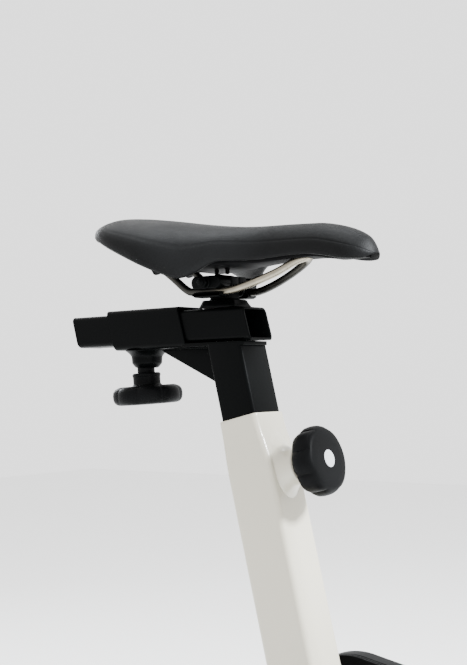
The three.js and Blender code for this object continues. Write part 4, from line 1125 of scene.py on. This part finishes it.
def build_drive():
    """Flywheel on its axle, belt guard, cranks and pedals; pulleys and belt keep their CAD shapes."""
    axis = basis((FLYWHEEL[0], 0, FLYWHEEL[2]), (0, 1, 0))
    wheel = Piece()
    half = [(8.5, -17), (32, -17), (35, -8), (60, -6), (140, -6), (152, -9), (156, -15), (187, -15), (190, -12)]
    profile = half + [(r, -h) for r, h in half[::-1]]
    wheel.placed(lathe_rings(rounded_profile(profile, 3), 144), axis, loop=True)
    wheel.finish("flywheel_fine", "flywheel_assembly", "flywheel", "cast_iron", "cast_iron", 45)

    axle = Piece()
    axle.turned([(0, -54), (6, -54), (8, -52), (8, 69), (7, 70), (0, 70)], axis, 40)
    axle.prism(circle(13.5, 6), -51, -44.2, 1.0, axis)
    axle.turned([(8, -44.4), (17, -44.4), (17, -43.4), (8, -43.4)], axis, 48, 0.3)
    axle.finish("flywheel_axle_fine", "flywheel_assembly", "flywheel_axle", "bright_steel", "bright_steel", 30)

    belt_guard()
    for name, side in SIDES:
        crank_arm(name, side)
        pedal(name, side)
    spindle = Piece(basis((CRANK[0], 0, CRANK[2]), (0, 1, 0)))
    spindle.turned([(0, -95), (7.5, -95), (8.5, -94), (8.5, 94), (7.5, 95), (0, 95)], None, 48)
    spindle.finish("crank_axle_fine", "crankset", "crank_axle", "bright_steel", "bright_steel")
    dress("crank_pulley", "black_steel")
    dress("flywheel_pulley", "black_steel")
    dress("drive_belt", "rubber")


def belt_guard():
    """Moulded cover with a pillowed edge, a groove along it, a crank ring and screws; a flat plate inside."""
    reach = FLYWHEEL - CRANK
    flat = basis(CRANK, (0, 1, 0), (1, 0, 0))
    outline = band([(0, 0, 108), (-14, -78, 62), (reach[0], -reach[2], 46)], 0, 320)
    outer = Piece(flat)
    lip = ((0.8, 48.4), (0, 49.0), (0, 50.6), (0.9, 51.2), (0.9, 52.2), (0.1, 52.8))
    rings = [lift(inset(outline, depth) if depth else outline, height) for depth, height in lip]
    rings += pillow_rings(outline, 9, 66, 8.5, 10)
    for depth, height in ((13, 74.9), (20, 75.1), (22.5, 74.2), (25, 74.1), (27.5, 75.3), (34, 75.8)):
        rings.append(lift(inset(outline, depth), height))
    outer.skin(rings)
    outer.turned([(12, 75.0), (21, 75.0), (21, 76.6), (19, 77.2), (12, 77.2)], None, 64)
    for angle in np.linspace(0, 2 * math.pi, GUARD["screws"], endpoint=False) + 0.3:
        centre = GUARD["screw_ring"] * np.array((math.cos(angle), math.sin(angle), 0))
        screw = [(0, 75.2), (3.6, 75.2), (3.6, 76.6), (2.6, 77.1), (0, 77.1)]
        outer.turned(screw, basis(centre, (0, 0, 1)), 24, 0.3)
    outer.finish("belt_guard_outer_fine", "frame", "belt_guard_outer", "black_plastic", "black_plastic")

    inner = Piece(flat)
    inner.prism(outline, GUARD["inner"], GUARD["inner"] + 2.5, 0.8)
    inner.finish("belt_guard_inner_fine", "frame", "belt_guard_inner", "black_plastic", "black_plastic")


def crank_arm(name, side):
    """Forged arm: thick round ends, a waisted web between them and a bolt cap."""
    arm = Piece(basis((CRANK[0], 0, CRANK[2]), (0, side, 0), (-side, 0, 0)))
    length, eye, boss = CRANK_ARM["length"], CRANK_ARM["eye"], CRANK_ARM["boss"]
    x = np.linspace(0, length, 70)
    half = eye + (boss - eye) * np.exp(-(x / 34) ** 2) - 2.6 * np.exp(-((x - 120) / 36) ** 2)
    upper = np.column_stack([x, half])[1:-1]
    lower = np.column_stack([x, -half])[1:-1][::-1]
    far_end = arc((length, 0), eye, math.pi / 2, -math.pi / 2, 24)
    near_end = arc((0, 0), boss, -math.pi / 2, -3 * math.pi / 2, 28)
    outline = np.vstack([upper, far_end, lower, near_end])[::-1]
    arm.prism(outline, CRANK_ARM["low"], CRANK_ARM["high"], 2.2)
    arm.turned([(0, 92), (11, 92), (11, 94.2), (9.5, 95), (6.4, 95), (6, 93.8), (0, 93.8)], None, 48, 0.4)
    arm.turned([(0, 92), (8.6, 92), (8.6, 93.6), (0, 93.6)], basis((length, 0, 0), (0, 0, 1)), 40, 0.4)
    arm.finish(f"crank_{name}_fine", "crankset", f"crank_{name}", "aluminium", "aluminium")


def pedal(name, side):
    """Platform pedal: ribbed tread bars and side plates round a barrel, with its spindle and toe cage."""
    centre = joint_point(f"pedal_{name}_spin")
    inner = side * PEDAL["inner"]
    body = Piece(basis((centre[0], inner, centre[2]), (0, side, 0), (1, 0, 0)))
    body.turned([(6.4, 2), (11, 2), (13, 8), (13, 74), (11, 80), (0, 81)], None, 40, 2)
    for low, high in ((2, 10), (72, 83)):
        body.prism(round_rect(PEDAL["length"], 20, 9, 0, 8), low, high, 1.5)
    for x in (-40, 40):
        body.placed(prism_rings(round_rect(11, 23, 4, 0, 6), 3, 82, 1.2), basis((x, 0, 0), (0, 0, 1)))
        for z in np.arange(9, 80, 6.5):
            for edge in (-1, 1):
                stud = basis((x, edge * 10.6, z), (0, edge, 0))
                body.turned([(0, 0), (2.4, 0), (1.7, 1.3), (0, 1.3)], stud, 12, 0.2)
    body.finish(f"pedal_{name}_fine", f"{name}_pedal", f"pedal_{name}", "black_plastic", "black_plastic")

    spindle = Piece(basis((centre[0], inner, centre[2]), (0, side, 0)))
    profile = [(0, -22), (6, -22), (6, -9), (9, -8.8), (9, -3.2), (6, -3), (6, 76), (0, 76)]
    spindle.turned(profile, None, 32, 0.4)
    node = f"pedal_spindle_{name}"
    spindle.finish(node + "_fine", "crankset", node, "bright_steel", "bright_steel", 30)
    toe_cage(name, centre, inner + side * PEDAL["middle"])


def toe_cage(name, centre, middle):
    """Three strips bent over the toe and two wires across them."""
    cage = Piece(basis((centre[0], 0, centre[2]), (0, 1, 0), (1, 0, 0)))
    bends = [(46.5, 7), (52, 2), (57, -14), (57.5, -32), (50, -47), (38, -55), (22, -60), (4, -62)]
    spine = curve_through(bends, 10)
    tangent = np.gradient(spine, axis=0)
    tangent /= np.linalg.norm(tangent, axis=1, keepdims=True)
    normal = np.column_stack([-tangent[:, 1], tangent[:, 0]])
    for offset, width in ((-20, 14), (20, 14), (0, 7)):
        section = round_rect(2.4, width, 1.0, 0, 4)
        across = middle + offset + section[:, 1]
        rings = [np.column_stack([point + section[:, :1] * n, across]) for point, n in zip(spine, normal)]
        cage.skin(rings)
    for x, y in (spine[int(len(spine) * 0.35)], spine[-3]):
        wire = np.linspace((x, y, middle - 27), (x, y, middle + 27), 6)
        cage.skin(sweep_rings(wire, 2.2, 12))
    cage.finish(f"toe_cage_{name}_fine", f"{name}_pedal", f"toe_cage_{name}", "black_steel", "black_steel")


# ------------------------------------------------------------------ brake
BRAKE = {"rim": 192.5, "half_angle": 0.155, "half_width": 12, "spring_low": 291.5, "spring_length": 22,
         "spring_turns": 9}


def build_brake():
    """Pad curved to the rim, rod with its coil spring, and the dial on top."""
    away = joint_axis("resistance_turn")
    at = basis(FLYWHEEL, away)
    rim = BRAKE["rim"]
    pad = Piece(at)
    a = np.linspace(-BRAKE["half_angle"], BRAKE["half_angle"], 24)
    shoe = np.column_stack([rim * np.sin(a), rim * np.cos(a)])
    outline = np.vstack([shoe, [(30, rim + 9), (-30, rim + 9)]])
    pad.skin([np.column_stack([outline[:, 0], np.full(len(outline), y), outline[:, 1]])
              for y in (BRAKE["half_width"], -BRAKE["half_width"])])
    pad.finish("brake_pad_fine", "brake_plunger", "brake_pad", "rubber", "rubber")

    rod = Piece(at)
    rod.prism(round_rect(50, 20, 3), rim + 9.3, rim + 13.3, 0.8)
    rod.turned([(0, rim + 10), (6, rim + 12), (6, 330), (0, 331)], None, 40)
    share = np.linspace(0, 1, 340)
    turns = 2 * math.pi * BRAKE["spring_turns"] * share
    height = BRAKE["spring_low"] + BRAKE["spring_length"] * share
    coil = np.column_stack([8.2 * np.cos(turns), 8.2 * np.sin(turns), height])
    rod.skin(sweep_rings(coil, 0.9, 8))
    rod.finish("brake_rod_fine", "brake_plunger", "brake_rod", "bright_steel", "bright_steel", 30)

    knob = Piece(at)
    knob.skin(knob_rings(23, 318, 351.5, 6, 3.0))
    knob.turned([(0, 315.5), (9, 315.5), (10, 317), (12, 321), (0, 321)], None, 40)
    knob.finish("resistance_knob_fine", "resistance_dial", "resistance_knob", "black_plastic", "black_plastic")


# ------------------------------------------------------------------ handlebar
HANDLEBAR = {"above_rim": 160 + 23.3, "radius": 14}


def bar_path():
    """Centre line from one grip's tip, bent through a quadratic curve to the cross bar, and mirrored back."""
    rise = HANDLEBAR["above_rim"]
    tip, knee = np.array((190, 205, rise + 55)), np.array((70, 205, rise + 38))
    corner, cross = np.array((10, 195, rise + 20)), np.array((0, 105, rise))
    t = np.linspace(0, 1, 30)[:, None]
    bend = (1 - t) ** 2 * knee + 2 * t * (1 - t) * corner + t ** 2 * cross
    half = np.vstack([np.linspace(tip, knee, 12)[:-1], bend, np.linspace(cross, cross * (1, 0, 1), 8)[1:]])
    mirror = (half * (1, -1, 1))[::-1][1:]
    return np.vstack([half, mirror]), tip, knee


def build_handlebar():
    """Bent bar, clamp block with four screws, and two ribbed foam grips with end plugs."""
    path, tip, knee = bar_path()
    bar = Piece(HEAD)
    bar.skin(sweep_rings(path, HANDLEBAR["radius"], 32))
    bar.finish("handlebar_fine", "handlebar_assembly", "handlebar", "black_steel", "black_steel")

    block = Piece(HEAD)
    block.prism(round_rect(46, 60, 8), 160.3, 206.3, 2.5)
    for x, y in ((15, 22), (15, -22), (-15, 22), (-15, -22)):
        screw = basis((x, y, 0), (0, 0, 1))
        block.turned([(5.2, 202), (5.2, 206.4), (4.8, 207.4), (2.6, 206.6), (2.6, 203)], screw, 24, 0.3)
    block.finish("handlebar_clamp_fine", "handlebar_assembly", "handlebar_clamp", "black_steel", "black_steel")

    for name, side in SIDES:
        start = tip * (1, side, 1)
        along = (knee - tip) * (1, side, 1)
        along /= np.linalg.norm(along)
        grip = Piece(HEAD)
        at = basis(start + along * 2, along, (0, 0, 1))
        ribs = [(14.6, 0), (16.2, 0), (17.4, 2)]
        for z in np.arange(6, 108, 3.4):
            ribs += [(17.5, z), (17.5, z + 2.3), (17.0, z + 2.6), (17.0, z + 3.1)]
        ribs += [(17.4, 112), (16.2, 114), (14.6, 114)]
        grip.placed(lathe_rings([np.array(p) for p in ribs], 48), at)
        grip.turned([(0, -2.6), (13, -2.6), (15, -1.2), (15, 1), (0, 1)], at, 40)
        grip.finish(f"grip_{name}_fine", "handlebar_assembly", f"grip_{name}", "grip_foam", "grip_foam", 50)


# ------------------------------------------------------------------ stage
CAMERA = {"offset": (617.6, -868.6, 34.1), "yaw": 0.633, "pitch": 0.038, "roll": -0.015,
          "lens": 64.96, "sensor": 36}
FLOOR_HALF = 6.0
WORLD_LIGHT = 2.1
LIGHT_COLOUR = (0.93, 0.97, 1.0)
LIGHTS = (  # name, offset from the saddle in m, power in W, size in m
    ("key", (1.9, 0.3, 1.35), 330, 0.35),
    ("top", (-0.3, 0.3, 2.5), 70, 1.0),
    ("rim", (-2.2, 0.9, 0.9), 24, 0.8),
)


def add_floor(scene):
    """Pale matt floor, large enough to fill the picture."""
    half = FLOOR_HALF
    mesh = bpy.data.meshes.new("floor")
    corners = [(-half, -half, 0), (half, -half, 0), (half, half, 0), (-half, half, 0)]
    mesh.from_pydata(corners, [], [(0, 1, 2, 3)])
    floor = bpy.data.objects.new("floor", mesh)
    paint = Paint("look_floor", Roughness=0.6)
    paint.feed(Base_Color=paint.blend(paint.noise(900, 3), (0.87, 0.87, 0.865), (0.9, 0.9, 0.895)))
    mesh.materials.append(paint.material)
    scene.collection.objects.link(floor)


def add_lights(scene):
    """Even white surroundings and three area lights that face the saddle."""
    world = bpy.data.worlds.new("studio")
    world.use_nodes = True
    world.node_tree.nodes["Background"].inputs["Color"].default_value = (1.0, 1.0, 1.0, 1)
    world.node_tree.nodes["Background"].inputs["Strength"].default_value = WORLD_LIGHT
    scene.world = world

    target = Vector(tuple(LEVEL[:3, 3] * MM))
    for name, offset, power, size in LIGHTS:
        light = bpy.data.lights.new(name, "AREA")
        light.energy = power
        light.color = LIGHT_COLOUR
        light.size = size
        lamp = bpy.data.objects.new(name, light)
        lamp.location = target + Vector(offset)
        lamp.rotation_euler = (target - lamp.location).to_track_quat("-Z", "Y").to_euler()
        scene.collection.objects.link(lamp)


def add_camera(scene):
    """Camera turned by yaw about the vertical, then by pitch, then by roll about its line of sight."""
    camera = bpy.data.objects.new("camera", bpy.data.cameras.new("camera"))
    camera.data.lens = CAMERA["lens"]
    camera.data.sensor_width = CAMERA["sensor"]
    camera.data.sensor_fit = "AUTO"
    yaw, pitch, roll = CAMERA["yaw"], CAMERA["pitch"], CAMERA["roll"]
    ahead = np.array((-math.sin(yaw) * math.cos(pitch), math.cos(yaw) * math.cos(pitch), math.sin(pitch)))
    right = np.array((math.cos(yaw), math.sin(yaw), 0))
    up = np.cross(right, ahead)
    tilted = math.cos(roll) * right + math.sin(roll) * up
    pose = np.eye(4)
    pose[:3, :3] = np.column_stack([tilted, np.cross(tilted, ahead), -ahead])
    pose[:3, 3] = (LEVEL[:3, 3] + CAMERA["offset"]) * MM
    camera.matrix_world = Matrix(pose.tolist())
    scene.collection.objects.link(camera)
    scene.camera = camera


# ------------------------------------------------------------------ add-on
class BIKE_OT_saddle(bpy.types.Operator):
    """Cover, base plate and rails of the saddle."""
    bl_idname = "exercise_bike.saddle"
    bl_label = "Saddle"

    def execute(self, context):
        build_saddle()
        return {"FINISHED"}


class BIKE_OT_clamp(bpy.types.Operator):
    """Jaws, cross bolt and mount that hold the rails."""
    bl_idname = "exercise_bike.clamp"
    bl_label = "Saddle clamp"

    def execute(self, context):
        build_clamp()
        return {"FINISHED"}


class BIKE_OT_slide(bpy.types.Operator):
    """Sliding bar, its collar, gusset and clamp knob."""
    bl_idname = "exercise_bike.slide"
    bl_label = "Fore-and-aft bar"

    def execute(self, context):
        build_slide()
        return {"FINISHED"}


class BIKE_OT_posts(bpy.types.Operator):
    """Telescoping posts, their tubes and pull knobs."""
    bl_idname = "exercise_bike.posts"
    bl_label = "Posts and tubes"

    def execute(self, context):
        build_posts()
        return {"FINISHED"}


class BIKE_OT_frame(bpy.types.Operator):
    """Welded tubes, stabilisers, caps, feet and transport wheels."""
    bl_idname = "exercise_bike.frame"
    bl_label = "Frame"

    def execute(self, context):
        build_frame()
        return {"FINISHED"}


class BIKE_OT_drive(bpy.types.Operator):
    """Flywheel, belt guard, cranks and pedals."""
    bl_idname = "exercise_bike.drive"
    bl_label = "Drive"

    def execute(self, context):
        build_drive()
        return {"FINISHED"}


class BIKE_OT_brake(bpy.types.Operator):
    """Brake pad, rod and resistance knob."""
    bl_idname = "exercise_bike.brake"
    bl_label = "Brake"

    def execute(self, context):
        build_brake()
        return {"FINISHED"}


class BIKE_OT_handlebar(bpy.types.Operator):
    """Handlebar, its clamp block and foam grips."""
    bl_idname = "exercise_bike.handlebar"
    bl_label = "Handlebar"

    def execute(self, context):
        build_handlebar()
        return {"FINISHED"}


class BIKE_OT_stage(bpy.types.Operator):
    """Floor, lights and camera."""
    bl_idname = "exercise_bike.stage"
    bl_label = "Stage"

    def execute(self, context):
        scene = context.scene
        add_floor(scene)
        add_lights(scene)
        add_camera(scene)
        return {"FINISHED"}


OPERATORS = (BIKE_OT_saddle, BIKE_OT_clamp, BIKE_OT_slide, BIKE_OT_posts, BIKE_OT_frame, BIKE_OT_drive,
             BIKE_OT_brake, BIKE_OT_handlebar, BIKE_OT_stage)


class BIKE_PT_panel(bpy.types.Panel):
    """Sidebar panel with the settings and one button per operator."""
    bl_label = "Exercise Bike"
    bl_idname = "BIKE_PT_panel"
    bl_space_type = "VIEW_3D"
    bl_region_type = "UI"
    bl_category = "Exercise Bike"

    def draw(self, context):
        for name in ExerciseBikeSettings.__annotations__:
            self.layout.prop(context.scene.exercise_bike, name)
        for operator in OPERATORS:
            self.layout.operator(operator.bl_idname)


CLASSES = (ExerciseBikeSettings, *OPERATORS, BIKE_PT_panel)


def register():
    """Registers the classes and the scene's settings."""
    for cls in CLASSES:
        bpy.utils.register_class(cls)
    bpy.types.Scene.exercise_bike = bpy.props.PointerProperty(type=ExerciseBikeSettings)


def unregister():
    """Undoes `register`."""
    del bpy.types.Scene.exercise_bike
    for cls in reversed(CLASSES):
        bpy.utils.unregister_class(cls)


def main():
    """Builds everything."""
    register()
    for operator in OPERATORS:
        getattr(bpy.ops.exercise_bike, operator.bl_idname.split(".")[1])()


if __name__ == "__main__":
    main()
